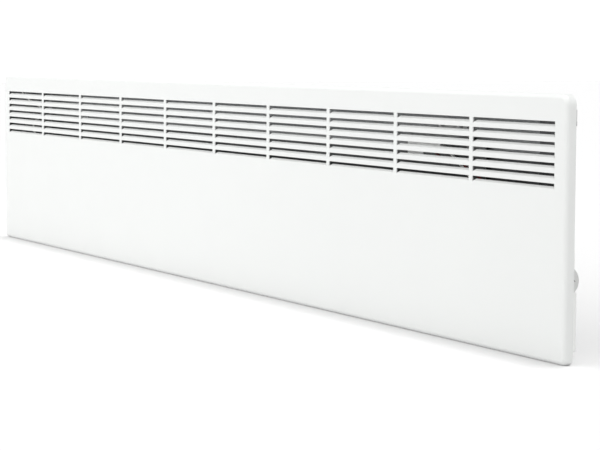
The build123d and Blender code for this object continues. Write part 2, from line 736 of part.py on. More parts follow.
with BuildPart() as terminal_pins:
    with BuildSketch(at_x(ROD_X1)):
        with Locations((ELEM_Y, EZ)):
            Circle(1.55)
    extrude(amount=20.0)
    with BuildSketch(at_x(ROD_X0 - 20.0)):
        with Locations((ELEM_Y, EZ)):
            Circle(1.55)
    extrude(amount=20.0)
terminal_pins.part.label = "terminal_pins"
export_step(terminal_pins.part, "parts/terminal_pins.step")

LUG_XR, LUG_XL = 570.0, -590.0


with BuildPart() as ring_lugs:
    for cx in (LUG_XR, LUG_XL):
        with BuildSketch(at_x(cx - 0.6)):
            with Locations((ELEM_Y, EZ)):
                Circle(4.2)
                Circle(1.6, mode=Mode.SUBTRACT)
        extrude(amount=1.2)
        with BuildSketch(at_z(EZ + 3.6)):
            with Locations((cx, ELEM_Y)):
                Circle(2.1)
        extrude(amount=8.4)
ring_lugs.part.label = "ring_lugs"
export_step(ring_lugs.part, "parts/ring_lugs.step")

with BuildPart() as terminal_nuts:
    with BuildSketch(at_x(LUG_XR + 0.6)):
        with Locations((ELEM_Y, EZ)):
            RegularPolygon(3.2, 6)
            Circle(1.6, mode=Mode.SUBTRACT)
    extrude(amount=2.4)
    with BuildSketch(at_x(LUG_XL - 3.0)):
        with Locations((ELEM_Y, EZ)):
            RegularPolygon(3.2, 6)
            Circle(1.6, mode=Mode.SUBTRACT)
    extrude(amount=2.4)
terminal_nuts.part.label = "terminal_nuts"
export_step(terminal_nuts.part, "parts/terminal_nuts.step")

with BuildPart() as element_bracket_right:
    with BuildSketch(at_x(537.4)):
        with BuildLine():
            Polyline(
                (CASE_YIN, ZB + 68), (-56.0, ZB + 68), (-62.0, ZB + 74),
                (-62.0, ZB + 98), (-56.0, ZB + 104), (CASE_YIN, ZB + 104), close=True,
            )
        make_face()
        with Locations((ELEM_Y, EZ)):
            Circle(7.6, mode=Mode.SUBTRACT)
    extrude(amount=1.2)
    with BuildSketch(at_y(CASE_YIN)):
        with Locations(((537.4 + 552.0) / 2, ZB + 86)):
            Rectangle(552.0 - 537.4, 36.0)
    extrude(amount=1.2)
    with BuildSketch(at_y(-20)):
        with Locations(*ELEM_SCREW_PTS[:2]):
            Circle(1.7)
    extrude(amount=6, mode=Mode.SUBTRACT)
element_bracket_right.part.label = "element_bracket_right"
export_step(element_bracket_right.part, "parts/element_bracket_right.step")

with BuildPart() as element_bracket_left:
    with BuildSketch(at_x(-559.2)):
        with BuildLine():
            Polyline(
                (CASE_YIN, ZB + 68), (-56.0, ZB + 68), (-62.0, ZB + 74),
                (-62.0, ZB + 98), (-56.0, ZB + 104), (CASE_YIN, ZB + 104), close=True,
            )
        make_face()
        with Locations((ELEM_Y, EZ)):
            Circle(7.6, mode=Mode.SUBTRACT)
    extrude(amount=1.2)
    with BuildSketch(at_y(CASE_YIN)):
        with Locations(((-572.6 - 558.0) / 2, ZB + 86)):
            Rectangle(572.6 - 558.0, 36.0)
    extrude(amount=1.2)
    with BuildSketch(at_y(-20)):
        with Locations(*ELEM_SCREW_PTS[2:]):
            Circle(1.7)
    extrude(amount=6, mode=Mode.SUBTRACT)
element_bracket_left.part.label = "element_bracket_left"
export_step(element_bracket_left.part, "parts/element_bracket_left.step")

with BuildPart() as element_grommets:
    for gx in (538.0, -558.6):
        with BuildSketch(at_x(gx - 0.7)):
            with Locations((ELEM_Y, EZ)):
                Circle(7.5)
        extrude(amount=1.4)
        with BuildSketch(at_x(gx - 1.9)):
            with Locations((ELEM_Y, EZ)):
                Circle(9.2)
        extrude(amount=1.2)
        with BuildSketch(at_x(gx + 0.7)):
            with Locations((ELEM_Y, EZ)):
                Circle(9.2)
        extrude(amount=1.2)
        with BuildSketch(at_x(gx - 3)):
            with Locations((ELEM_Y, EZ)):
                Circle(TUBE_R + 0.05)
        extrude(amount=6, mode=Mode.SUBTRACT)
element_grommets.part.label = "element_grommets"
export_step(element_grommets.part, "parts/element_grommets.step")

# ------------------------------------------------------------------
# overheat limiter on its bracket above the element
# ------------------------------------------------------------------
with BuildPart() as limiter_bracket:
    with BuildSketch(at_y(CASE_YIN)):
        with Locations((437.0, ZB + 197.0)):
            Rectangle(52.0, 16.0)
    extrude(amount=1.0)
    with BuildSketch(at_x(404.0)):
        with Locations(((-62.5 + CASE_YIN) / 2, ZB + 189.5)):
            Rectangle(62.5 + CASE_YIN, 1.0)
    extrude(amount=72.0)
    # front lip, bent down
    with BuildSketch(at_y(-61.5)):
        with Locations((446.5, ZB + 184.0)):
            Rectangle(59.0, 12.0)
    extrude(amount=1.0)
    # tongue that carries the limiter
    with BuildSketch(at_y(-54.0)):
        with Locations((418.0, ZB + 180.0)):
            Rectangle(28.0, 20.0)
    extrude(amount=1.0)
    with BuildSketch(at_y(-20)):
        with Locations(*LIMIT_SCREW_PTS):
            Circle(1.7)
    extrude(amount=5, mode=Mode.SUBTRACT)
limiter_bracket.part.label = "limiter_bracket"
export_step(limiter_bracket.part, "parts/limiter_bracket.step")

with BuildPart() as overheat_limiter:
    with BuildSketch(at_y(-44.0)):
        with Locations((418.0, ZB + 180.5)):
            Circle(7.5)
    extrude(amount=10.0)
    with BuildSketch(at_y(-53.0)):
        with Locations((418.0, ZB + 180.5)):
            Circle(8.2)
    extrude(amount=1.0)
    fillet(overheat_limiter.faces().sort_by(Axis.Y)[-1].edges(), 0.8)
overheat_limiter.part.label = "overheat_limiter"
export_step(overheat_limiter.part, "parts/overheat_limiter.step")

LIM_Y = -37.0
# ------------------------------------------------------------------
# control housing on the right end cap
# ------------------------------------------------------------------
HX0, HX1 = CAP_X + 0.05, 651.0
with BuildPart() as control_housing:
    with BuildSketch(at_x(HX0)):
        with BuildLine():
            Polyline(
                (-58.5, ZB + 4), (-27.0, ZB + 4), (-27.0, ZB + 57),
                (-29.5, ZB + 60), (-29.5, ZB + 96), (-58.5, ZB + 96), close=True,
            )
        make_face()
    extrude(amount=HX1 - HX0)
    fillet(control_housing.edges().filter_by(Axis.X).group_by(Axis.Z)[-1], 3.0)
    fillet(control_housing.edges().filter_by(Axis.X).group_by(Axis.Z)[0], 2.0)
    fillet(control_housing.faces().sort_by(Axis.X)[-1].edges(), 1.2)
    # hollow behind the face, with two screw bosses left standing
    with BuildSketch(at_x(HX0)):
        with Locations((-43.9, ZB + 55.0)):
            Rectangle(25.2, 78.0)
        with Locations(*HOUSING_SCREW_PTS):
            Circle(4.6, mode=Mode.SUBTRACT)
    extrude(amount=9.0, mode=Mode.SUBTRACT)
    with BuildSketch(at_x(HX0 - 1)):
        with Locations((DIAL_Y, ZB + DIAL_H)):
            Circle(3.6)
        with Locations((SW_Y, ZB + SW_H)):
            Rectangle(16.4, 22.4)
        with Locations(*HOUSING_SCREW_PTS):
            Circle(1.7)
    extrude(amount=15, mode=Mode.SUBTRACT)
    with BuildSketch(at_x(HX1 - 1.2)):
        with Locations(*HOUSING_SCREW_PTS):
            Circle(3.2)
    extrude(amount=3, mode=Mode.SUBTRACT)
control_housing.part.label = "control_housing"
export_step(control_housing.part, "parts/control_housing.step")

with BuildPart() as housing_screws:
    with BuildSketch(at_x(CAP_X - 5)):
        with Locations(*HOUSING_SCREW_PTS):
            Circle(1.65)
    extrude(amount=HX1 - 1.2 - CAP_X + 5)
    with BuildSketch(at_x(HX1 - 1.2)):
        with Locations(*HOUSING_SCREW_PTS):
            Circle(3.0)
    extrude(amount=1.1)
    with BuildSketch(at_x(HX1 - 0.9)):
        with Locations(*HOUSING_SCREW_PTS):
            Rectangle(2.8, 0.6)
            Rectangle(0.6, 2.8)
    extrude(amount=2, mode=Mode.SUBTRACT)
housing_screws.part.label = "housing_screws"
export_step(housing_screws.part, "parts/housing_screws.step")

# ------------------------------------------------------------------
# thermostat
# ------------------------------------------------------------------
DZ = ZB + DIAL_H
with BuildPart() as thermostat_body:
    with BuildSketch(at_x(611.0)):
        with Locations((DIAL_Y, DZ)):
            RectangleRounded(29.0, 29.0, 2.5)
    extrude(amount=27.9)
    with BuildSketch(at_x(638.9)):
        with Locations((DIAL_Y, DZ)):
            Circle(4.8)
    extrude(amount=6.5)
    with BuildSketch(at_x(613.0)):
        with Locations((DIAL_Y, DZ)):
            Circle(SPINDLE_R + 0.05)
    extrude(amount=40, mode=Mode.SUBTRACT)
thermostat_body.part.label = "thermostat_body"
export_step(thermostat_body.part, "parts/thermostat_body.step")

with BuildPart() as thermostat_nut:
    with BuildSketch(at_x(CAP_X)):
        with Locations((DIAL_Y, DZ)):
            RegularPolygon(8.0, 6)
            Circle(4.85, mode=Mode.SUBTRACT)
    extrude(amount=3.0)
thermostat_nut.part.label = "thermostat_nut"
export_step(thermostat_nut.part, "parts/thermostat_nut.step")

TH_TABS = [(-42.0, ZB + 62.0), (-56.0, ZB + 78.0)]
with BuildPart() as thermostat_spindle:
    with BuildSketch(at_x(613.2)):
        with Locations((DIAL_Y, DZ)):
            Circle(SPINDLE_R)
    extrude(amount=661.0 - 613.2)
thermostat_spindle.part.label = "thermostat_spindle"
export_step(thermostat_spindle.part, "parts/thermostat_spindle.step")

with BuildPart() as thermostat_knob:
    with BuildSketch(at_x(KNOB_X0)):
        with Locations((DIAL_Y, DZ)):
            Circle(KNOB_R)
    extrude(amount=KNOB_X1 - KNOB_X0)
    chamfer(thermostat_knob.faces().sort_by(Axis.X)[-1].edges(), 1.4)
    # grip flutes round the rim
    with BuildSketch(at_x(KNOB_X0 + 2.0)):
        with Locations((DIAL_Y, DZ)):
            with PolarLocations(KNOB_R + 0.5, 30):
                Circle(0.9)
    extrude(amount=KNOB_X1 - KNOB_X0, mode=Mode.SUBTRACT)
    # hub bore
    with BuildSketch(at_x(KNOB_X0 - 1)):
        with Locations((DIAL_Y, DZ)):
            Circle(SPINDLE_R + 0.03)
    extrude(amount=10.0, mode=Mode.SUBTRACT)
    # pointer groove, straight up at rest
    with BuildSketch(at_x(KNOB_X1 - 0.7)):
        with Locations((DIAL_Y, DZ + 8.2)):
            Rectangle(1.4, 7.0)
    extrude(amount=2, mode=Mode.SUBTRACT)
thermostat_knob.part.label = "thermostat_knob"
export_step(thermostat_knob.part, "parts/thermostat_knob.step")

# sensor bulb near the air inlet, on clips, with its capillary
BULB = (-54.0, ZB + 24.0)
with BuildPart() as sensor_bulb:
    with BuildSketch(at_x(430.0)):
        with Locations(BULB):
            Circle(2.5)
    extrude(amount=70.0)
sensor_bulb.part.label = "sensor_bulb"
export_step(sensor_bulb.part, "parts/sensor_bulb.step")

with BuildPart() as sensor_clips:
    for cx in (440.0, 484.0):
        with BuildSketch(at_x(cx)):
            with Locations((BULB[0], (ZB + 15.0 + ZB + 28.0) / 2)):
                Rectangle(8.0, 13.0)
            with Locations(BULB):
                Circle(2.55, mode=Mode.SUBTRACT)
            with Locations((BULB[0], ZB + 27.0)):
                Rectangle(2.6, 4.0, mode=Mode.SUBTRACT)
        extrude(amount=6.0)
sensor_clips.part.label = "sensor_clips"
export_step(sensor_clips.part, "parts/sensor_clips.step")

cap_pts = [
    (500.0, -54.0, ZB + 24.0), (511.0, -54.0, ZB + 24.0), (530.0, -57.2, ZB + 30.0),
    (552.0, -57.2, ZB + 31.5), (575.0, -55.5, ZB + 36.0), (590.0, -54.0, ZB + 46.0),
    (598.0, -52.8, ZB + 58.0), (611.0, -52.8, ZB + 58.0),
]
cap_rad = [12.0, 14.0, 20.0, 18.0, 12.0, 7.0]
with BuildPart() as capillary:
    with BuildLine() as cap_line:
        FilletPolyline(*cap_pts, radius=cap_rad)
    with BuildSketch(Plane(origin=cap_pts[0], z_dir=(Vector(*cap_pts[1]) - Vector(*cap_pts[0])).normalized())):
        Circle(0.8)
    sweep(path=cap_line.wires()[0])
capillary.part.label = "capillary"
export_step(capillary.part, "parts/capillary.step")
tube_run("capillary", cap_pts, cap_rad, 0.8)

# ------------------------------------------------------------------
# rocker switch
# ------------------------------------------------------------------
SZ = ZB + SW_H
with BuildPart() as switch_body:
    with BuildSketch(at_x(627.0)):
        with Locations((SW_Y, SZ)):
            Rectangle(16.0, 22.0)
    extrude(amount=24.0)
    with BuildSketch(at_x(651.0)):
        with Locations((SW_Y, SZ)):
            RectangleRounded(19.0, 25.0, 1.5)
    extrude(amount=1.5)
    fillet(switch_body.faces().sort_by(Axis.X)[-1].edges(), 0.5)
    with BuildSketch(at_x(643.0)):
        with Locations((SW_Y, SZ)):
            Rectangle(13.2, 19.2)
    extrude(amount=12, mode=Mode.SUBTRACT)
    with BuildSketch(at_y(SW_Y + 7.4)):
        with Locations((ROCK_X, SZ)):
            Circle(1.06)
    extrude(amount=14.8, mode=Mode.SUBTRACT)
switch_body.part.label = "switch_body"
export_step(switch_body.part, "parts/switch_body.step")


def rock(a, b):
    """(X, Z) of a point a along the rocker and b out of it, tilted as at rest."""
    t = math.radians(ROCK_REST)
    return (ROCK_X + b * math.cos(t) + a * math.sin(t), SZ + a * math.cos(t) - b * math.sin(t))


with BuildPart() as switch_rocker:
    with BuildSketch(at_y(SW_Y + 6.4)):
        with BuildLine():
            Polyline(
                rock(-8.7, 4.6), rock(-4.4, 3.75), rock(0, 3.4), rock(4.4, 3.75), rock(8.7, 4.6),
                rock(8.0, -2.5), rock(-8.0, -2.5), close=True,
            )
        make_face()
    extrude(amount=12.8)
    with BuildSketch(at_y(SW_Y + 7.2)):
        with Locations((ROCK_X, SZ)):
            Circle(1.0)
    extrude(amount=14.4)
switch_rocker.part.label = "switch_rocker"
export_step(switch_rocker.part, "parts/switch_rocker.step")

# spade tabs of the switch, the thermostat and the limiter
with BuildPart() as spade_tabs:
    with BuildSketch(at_x(617.0)):
        with Locations((-46.0, ZB + 49.0), (-46.0, ZB + 38.0)):
            Rectangle(0.8, 5.0)
    extrude(amount=10.0)
    with BuildSketch(at_x(601.0)):
        with Locations(*TH_TABS):
            Rectangle(0.8, 5.0)
    extrude(amount=10.0)
    with BuildSketch(at_y(LIM_Y)):
        with Locations((414.0, ZB + 180.5), (422.0, ZB + 180.5)):
            Rectangle(0.8, 5.0)
    extrude(amount=7.0)
spade_tabs.part.label = "spade_tabs"
export_step(spade_tabs.part, "parts/spade_tabs.step")

# ------------------------------------------------------------------
# terminal block, earth point and cable gland
# ------------------------------------------------------------------
POLES = [ZB + 33.0, ZB + 43.5, ZB + 54.0]
WIRE_Y = -31.0
with BuildPart() as terminal_block:
    with BuildSketch(at_x(566.0)):
        with Locations(((-38.0 + CASE_YIN) / 2, ZB + 43.5)):
            Rectangle(38.0 + CASE_YIN, 33.0)
    extrude(amount=22.0)
    # notches between the poles
    with BuildSketch(at_x(565.0)):
        with Locations((-38.0, ZB + 38.25), (-38.0, ZB + 48.75)):
            Rectangle(4.0, 1.2)
    extrude(amount=24.0, mode=Mode.SUBTRACT)
    with BuildSketch(at_x(565.0)):
        with Locations(*[(WIRE_Y, z) for z in POLES]):
            Circle(1.9)
    extrude(amount=9.0, mode=Mode.SUBTRACT)
    with BuildSketch(at_x(580.0)):
        with Locations(*[(WIRE_Y, z) for z in POLES]):
            Circle(1.9)
    extrude(amount=9.0, mode=Mode.SUBTRACT)
    with BuildSketch(at_y(WIRE_Y)):
        with Locations(*[(x, z) for x in (570.5, 583.5) for z in POLES]):
            Circle(2.1)
    extrude(amount=9.0, mode=Mode.SUBTRACT)
    with BuildSketch(at_y(-35.0)):
        with Locations(*BLOCK_SCREW_PTS):
            Circle(2.7)
    extrude(amount=5.0, mode=Mode.SUBTRACT)
    with BuildSketch(at_y(-20)):
        with Locations(*BLOCK_SCREW_PTS):
            Circle(1.4)
    extrude(amount=20.0, mode=Mode.SUBTRACT)
terminal_block.part.label = "terminal_block"
export_step(terminal_block.part, "parts/terminal_block.step")

with BuildPart() as terminal_screws:
    with BuildSketch(at_y(WIRE_Y - LEAD_R - 0.1)):
        with Locations(*[(x, z) for x in (570.5, 583.5) for z in POLES]):
            Circle(2.0)
    extrude(amount=5.0)
    with BuildSketch(at_y(WIRE_Y - LEAD_R - 4.1)):
        with Locations(*[(x, z) for x in (570.5, 583.5) for z in POLES]):
            Rectangle(5.0, 0.7)
    extrude(amount=3.0, mode=Mode.SUBTRACT)
terminal_screws.part.label = "terminal_screws"
export_step(terminal_screws.part, "parts/terminal_screws.step")

with BuildPart() as block_screws:
    with BuildSketch(at_y(-20.8)):
        with Locations(*BLOCK_SCREW_PTS):
            Circle(1.35)
    extrude(amount=14.2)
    with BuildSketch(at_y(-35.0)):
        with Locations(*BLOCK_SCREW_PTS):
            Circle(2.6)
    extrude(amount=1.4)
block_screws.part.label = "block_screws"
export_step(block_screws.part, "parts/block_screws.step")

with BuildPart() as earth_lug:
    with BuildSketch(at_y(CASE_YIN)):
        with Locations((617.0, ZB + 32.0)):
            Rectangle(10.0, 8.0)
        with Locations(EARTH_PT):
            Circle(2.1, mode=Mode.SUBTRACT)
    extrude(amount=1.0)
    with BuildSketch(at_x(606.0)):
        with Locations((-25.0, ZB + 32.0)):
            Circle(2.0)
    extrude(amount=6.8)
earth_lug.part.label = "earth_lug"
export_step(earth_lug.part, "parts/earth_lug.step")

with BuildPart() as earth_screw:
    with BuildSketch(at_y(-20.5)):
        with Locations(EARTH_PT):
            Circle(2.0)
    extrude(amount=3.3)
    with BuildSketch(at_y(CASE_YIN - 1.0)):
        with Locations(EARTH_PT):
            Circle(3.4)
    extrude(amount=2.0)
earth_screw.part.label = "earth_screw"
export_step(earth_screw.part, "parts/earth_screw.step")

with BuildPart() as cable_gland:
    with BuildSketch(at_z(ZB + 6.0)):
        with Locations((GLAND_X, GLAND_Y)):
            Circle(8.0)
    extrude(amount=20.0)
    with BuildSketch(at_z(ZB + 11.2)):
        with Locations((GLAND_X, GLAND_Y)):
            RegularPolygon(12.0, 6)
    extrude(amount=3.0)
    with BuildSketch(at_z(ZB + 5.0)):
        with Locations((GLAND_X, GLAND_Y)):
            Circle(4.0)
    extrude(amount=22.0, mode=Mode.SUBTRACT)
cable_gland.part.label = "cable_gland"
export_step(cable_gland.part, "parts/cable_gland.step")

with BuildPart() as gland_cap:
    with BuildSketch(at_z(ZB + 2.5)):
        with Locations((GLAND_X, GLAND_Y)):
            Circle(10.5)
    extrude(amount=8.4)
    fillet(gland_cap.faces().sort_by(Axis.Z)[0].edges(), 2.4)
    with BuildSketch(at_z(ZB + 5.9)):
        with Locations((GLAND_X, GLAND_Y)):
            Circle(8.1)
    extrude(amount=8.0, mode=Mode.SUBTRACT)
    with BuildSketch(at_z(ZB + 1.0)):
        with Locations((GLAND_X, GLAND_Y)):
            Circle(4.4)
    extrude(amount=8.0, mode=Mode.SUBTRACT)
gland_cap.part.label = "gland_cap"
export_step(gland_cap.part, "parts/gland_cap.step")

with BuildPart() as gland_nut:
    with BuildSketch(at_z(ZB + 15.0)):
        with Locations((GLAND_X, GLAND_Y)):
            RegularPolygon(11.0, 6)
            Circle(8.05, mode=Mode.SUBTRACT)
    extrude(amount=4.0)
gland_nut.part.label = "gland_nut"
export_step(gland_nut.part, "parts/gland_nut.step")

# ------------------------------------------------------------------
# internal leads: straight runs joined by tangent arcs
# ------------------------------------------------------------------
def lead_plane(pts):
    return Plane(origin=pts[0], z_dir=(Vector(*pts[1]) - Vector(*pts[0])).normalized())


live_pts = [
    (581.0, WIRE_Y, ZB + 54.0), (597.0, WIRE_Y, ZB + 54.0),
    (606.0, -46.0, ZB + 49.0), (617.0, -46.0, ZB + 49.0),
]
live_rad = [6.0, 6.0]
with BuildPart() as lead_live:
    with BuildLine() as live_line:
        FilletPolyline(*live_pts, radius=live_rad)
    with BuildSketch(lead_plane(live_pts)):
        Circle(LEAD_R)
    sweep(path=live_line.wires()[0])
lead_live.part.label = "lead_live"
export_step(lead_live.part, "parts/lead_live.step")
tube_run("lead_live", live_pts, live_rad, LEAD_R)

switched_pts = [
    (617.0, -46.0, ZB + 38.0), (603.0, -46.0, ZB + 38.0), (591.5, -45.5, ZB + 44.5),
    (589.8, -43.6, ZB + 55.0), (592.6, -42.0, ZB + 62.0), (601.0, -42.0, ZB + 62.0),
]
switched_rad = [8.0, 7.0, 6.0, 5.0]
with BuildPart() as lead_switched:
    with BuildLine() as switched_line:
        FilletPolyline(*switched_pts, radius=switched_rad)
    with BuildSketch(lead_plane(switched_pts)):
        Circle(LEAD_R)
    sweep(path=switched_line.wires()[0])
lead_switched.part.label = "lead_switched"
export_step(lead_switched.part, "parts/lead_switched.step")
tube_run("lead_switched", switched_pts, switched_rad, LEAD_R)

white_pts = [
    (422.0, LIM_Y, ZB + 180.5), (422.0, -31.5, ZB + 180.5), (437.0, -33.0, ZB + 179.5),
    (470.0, -48.0, ZB + 175.0), (505.0, -56.0, ZB + 163.0), (545.0, -58.0, ZB + 138.0),
    (575.0, -57.5, ZB + 108.0), (590.0, -56.0, ZB + 78.0), (601.0, -56.0, ZB + 78.0),
]
white_rad = [2.6, 12.0, 30.0, 30.0, 30.0, 25.0, 8.0]
with BuildPart() as lead_thermostat:
    with BuildLine() as white_line:
        FilletPolyline(*white_pts, radius=white_rad)
    with BuildSketch(lead_plane(white_pts)):
        Circle(LEAD_R)
    sweep(path=white_line.wires()[0])
lead_thermostat.part.label = "lead_thermostat"
export_step(lead_thermostat.part, "parts/lead_thermostat.step")
tube_run("lead_thermostat", white_pts, white_rad, LEAD_R)

red_pts = [
    (414.0, LIM_Y, ZB + 180.5), (414.0, -31.0, ZB + 180.5), (416.5, -30.8, ZB + 172.0),
    (438.0, -36.0, ZB + 167.5), (480.0, -43.0, ZB + 166.0), (520.0, -45.0, ZB + 152.0),
    (556.0, -46.0, ZB + 130.0), (LUG_XR, ELEM_Y, ZB + 112.0), (LUG_XR, ELEM_Y, EZ + 12.0),
]
red_rad = [2.6, 4.0, 20.0, 30.0, 30.0, 20.0, 12.0]
with BuildPart() as lead_limiter:
    with BuildLine() as red_line:
        FilletPolyline(*red_pts, radius=red_rad)
    with BuildSketch(lead_plane(red_pts)):
        Circle(LEAD_R)
    sweep(path=red_line.wires()[0])
lead_limiter.part.label = "lead_limiter"
export_step(lead_limiter.part, "parts/lead_limiter.step")
tube_run("lead_limiter", red_pts, red_rad, LEAD_R)

RET_Y, RET_Z = -38.0, ZB + 216.6
return_pts = [
    (LUG_XL, ELEM_Y, EZ + 12.0), (LUG_XL, ELEM_Y, ZB + 118.0), (-592.0, -56.0, ZB + 138.0),
    (-601.0, -64.0, ZB + 158.0), (-601.5, -63.5, ZB + 168.5), (-598.0, -52.0, ZB + 179.0),
    (-600.0, -52.0, ZB + 189.5), (-617.0, -64.0, ZB + 200.5), (-645.0, -66.0, ZB + 211.5),
    (-627.0, -58.5, ZB + 216.3), (-612.0, -43.0, ZB + 216.5), (-596.0, RET_Y, RET_Z), (580.0, RET_Y, RET_Z), (612.0, -37.0, ZB + 215.8),
    (626.0, -31.5, ZB + 206.5), (626.0, -27.2, ZB + 188.0), (626.0, -26.8, ZB + 72.0),
    (615.0, -28.0, ZB + 52.0), (603.0, WIRE_Y, ZB + 43.5), (581.0, WIRE_Y, ZB + 43.5),
]
return_rad = [
    30.0, 25.0, 14.0, 7.0, 8.0, 7.0, 10.0, 3.0, 14.0, 20.0, 40.0,
    60.0, 14.0, 12.0, 20.0, 14.0, 12.0, 9.0,
]
with BuildPart() as lead_return:
    with BuildLine() as return_line:
        FilletPolyline(*return_pts, radius=return_rad)
    with BuildSketch(lead_plane(return_pts)):
        Circle(LEAD_R)
    sweep(path=return_line.wires()[0])
lead_return.part.label = "lead_return"
export_step(lead_return.part, "parts/lead_return.step")
tube_run("lead_return", return_pts, return_rad, LEAD_R)

earth_pts = [
    (581.0, WIRE_Y, ZB + 33.0), (592.5, WIRE_Y, ZB + 33.0),
    (598.5, -25.0, ZB + 32.0), (606.0, -25.0, ZB + 32.0),
]
earth_rad = [5.0, 5.0]
with BuildPart() as lead_earth:
    with BuildLine() as earth_line:
        FilletPolyline(*earth_pts, radius=earth_rad)
    with BuildSketch(lead_plane(earth_pts)):
        Circle(LEAD_R)
    sweep(path=earth_line.wires()[0])
lead_earth.part.label = "lead_earth"
export_step(lead_earth.part, "parts/lead_earth.step")
tube_run("lead_earth", earth_pts, earth_rad, LEAD_R)

with BuildPart() as lead_clips:
    for cx in (-500.0, -250.0, 0.0, 250.0, 490.0):
        with BuildSketch(at_x(cx - 4.0)):
            with Locations((RET_Y, (RET_Z - 3.0 + ZB + 221.0) / 2)):
                Rectangle(6.4, ZB + 221.0 - RET_Z + 3.0)
            with Locations((RET_Y, RET_Z)):
                Circle(LEAD_R + 0.1, mode=Mode.SUBTRACT)
        extrude(amount=8.0)
lead_clips.part.label = "lead_clips"
export_step(lead_clips.part, "parts/lead_clips.step")
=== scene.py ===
import json
import math

import bmesh
import bpy
from mathutils import Matrix, Vector


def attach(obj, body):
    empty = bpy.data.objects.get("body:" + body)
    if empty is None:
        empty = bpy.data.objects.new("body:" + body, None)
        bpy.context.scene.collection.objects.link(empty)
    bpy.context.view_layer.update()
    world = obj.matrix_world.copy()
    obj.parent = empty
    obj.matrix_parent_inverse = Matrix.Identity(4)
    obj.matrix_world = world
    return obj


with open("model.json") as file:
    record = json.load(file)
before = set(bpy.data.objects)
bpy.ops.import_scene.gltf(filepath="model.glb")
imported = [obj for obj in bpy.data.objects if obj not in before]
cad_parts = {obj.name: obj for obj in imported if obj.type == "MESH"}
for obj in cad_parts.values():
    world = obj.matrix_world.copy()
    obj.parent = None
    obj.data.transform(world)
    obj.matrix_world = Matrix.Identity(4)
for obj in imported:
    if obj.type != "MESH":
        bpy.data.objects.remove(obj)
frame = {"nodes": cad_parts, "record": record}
NODES = frame["nodes"]
scene = bpy.context.scene
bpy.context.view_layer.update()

# main sizes, metres, as in the CAD model --------------------------------
ZB = -0.122              # bottom edge of the panel
YF = -0.072              # front face
DIAL = (0.6642, -0.0473, ZB + 0.0696)
HOUSE_X = 0.651
ROCK = (0.649, -0.043, ZB + 0.0435)

# ------------------------------------------------------------------
# camera at the photograph's viewing angle
# ------------------------------------------------------------------
CAM_POS = Vector((2.1409, -1.1070, 0.1490))
YAW, PITCH, ROLL = math.radians(-61.786), math.radians(-4.835), math.radians(0.258)
LENS = 123.5


def place_camera():
    fw = Vector((math.sin(YAW) * math.cos(PITCH), math.cos(YAW) * math.cos(PITCH), math.sin(PITCH)))
    right = Vector((math.cos(YAW), -math.sin(YAW), 0.0))
    up = right.cross(fw)
    r2 = right * math.cos(ROLL) + up * math.sin(ROLL)
    u2 = -right * math.sin(ROLL) + up * math.cos(ROLL)
    data = bpy.data.cameras.new("camera")
    cam = bpy.data.objects.new("camera", data)
    scene.collection.objects.link(cam)
    rot = Matrix((r2, u2, -fw)).transposed()
    cam.matrix_world = Matrix.Translation(CAM_POS) @ rot.to_4x4()
    data.sensor_width = 36.0
    data.sensor_fit = "HORIZONTAL"
    data.lens = LENS
    data.clip_start, data.clip_end = 0.05, 60.0
    data.dof.use_dof = False
    scene.camera = cam
    return cam


place_camera()


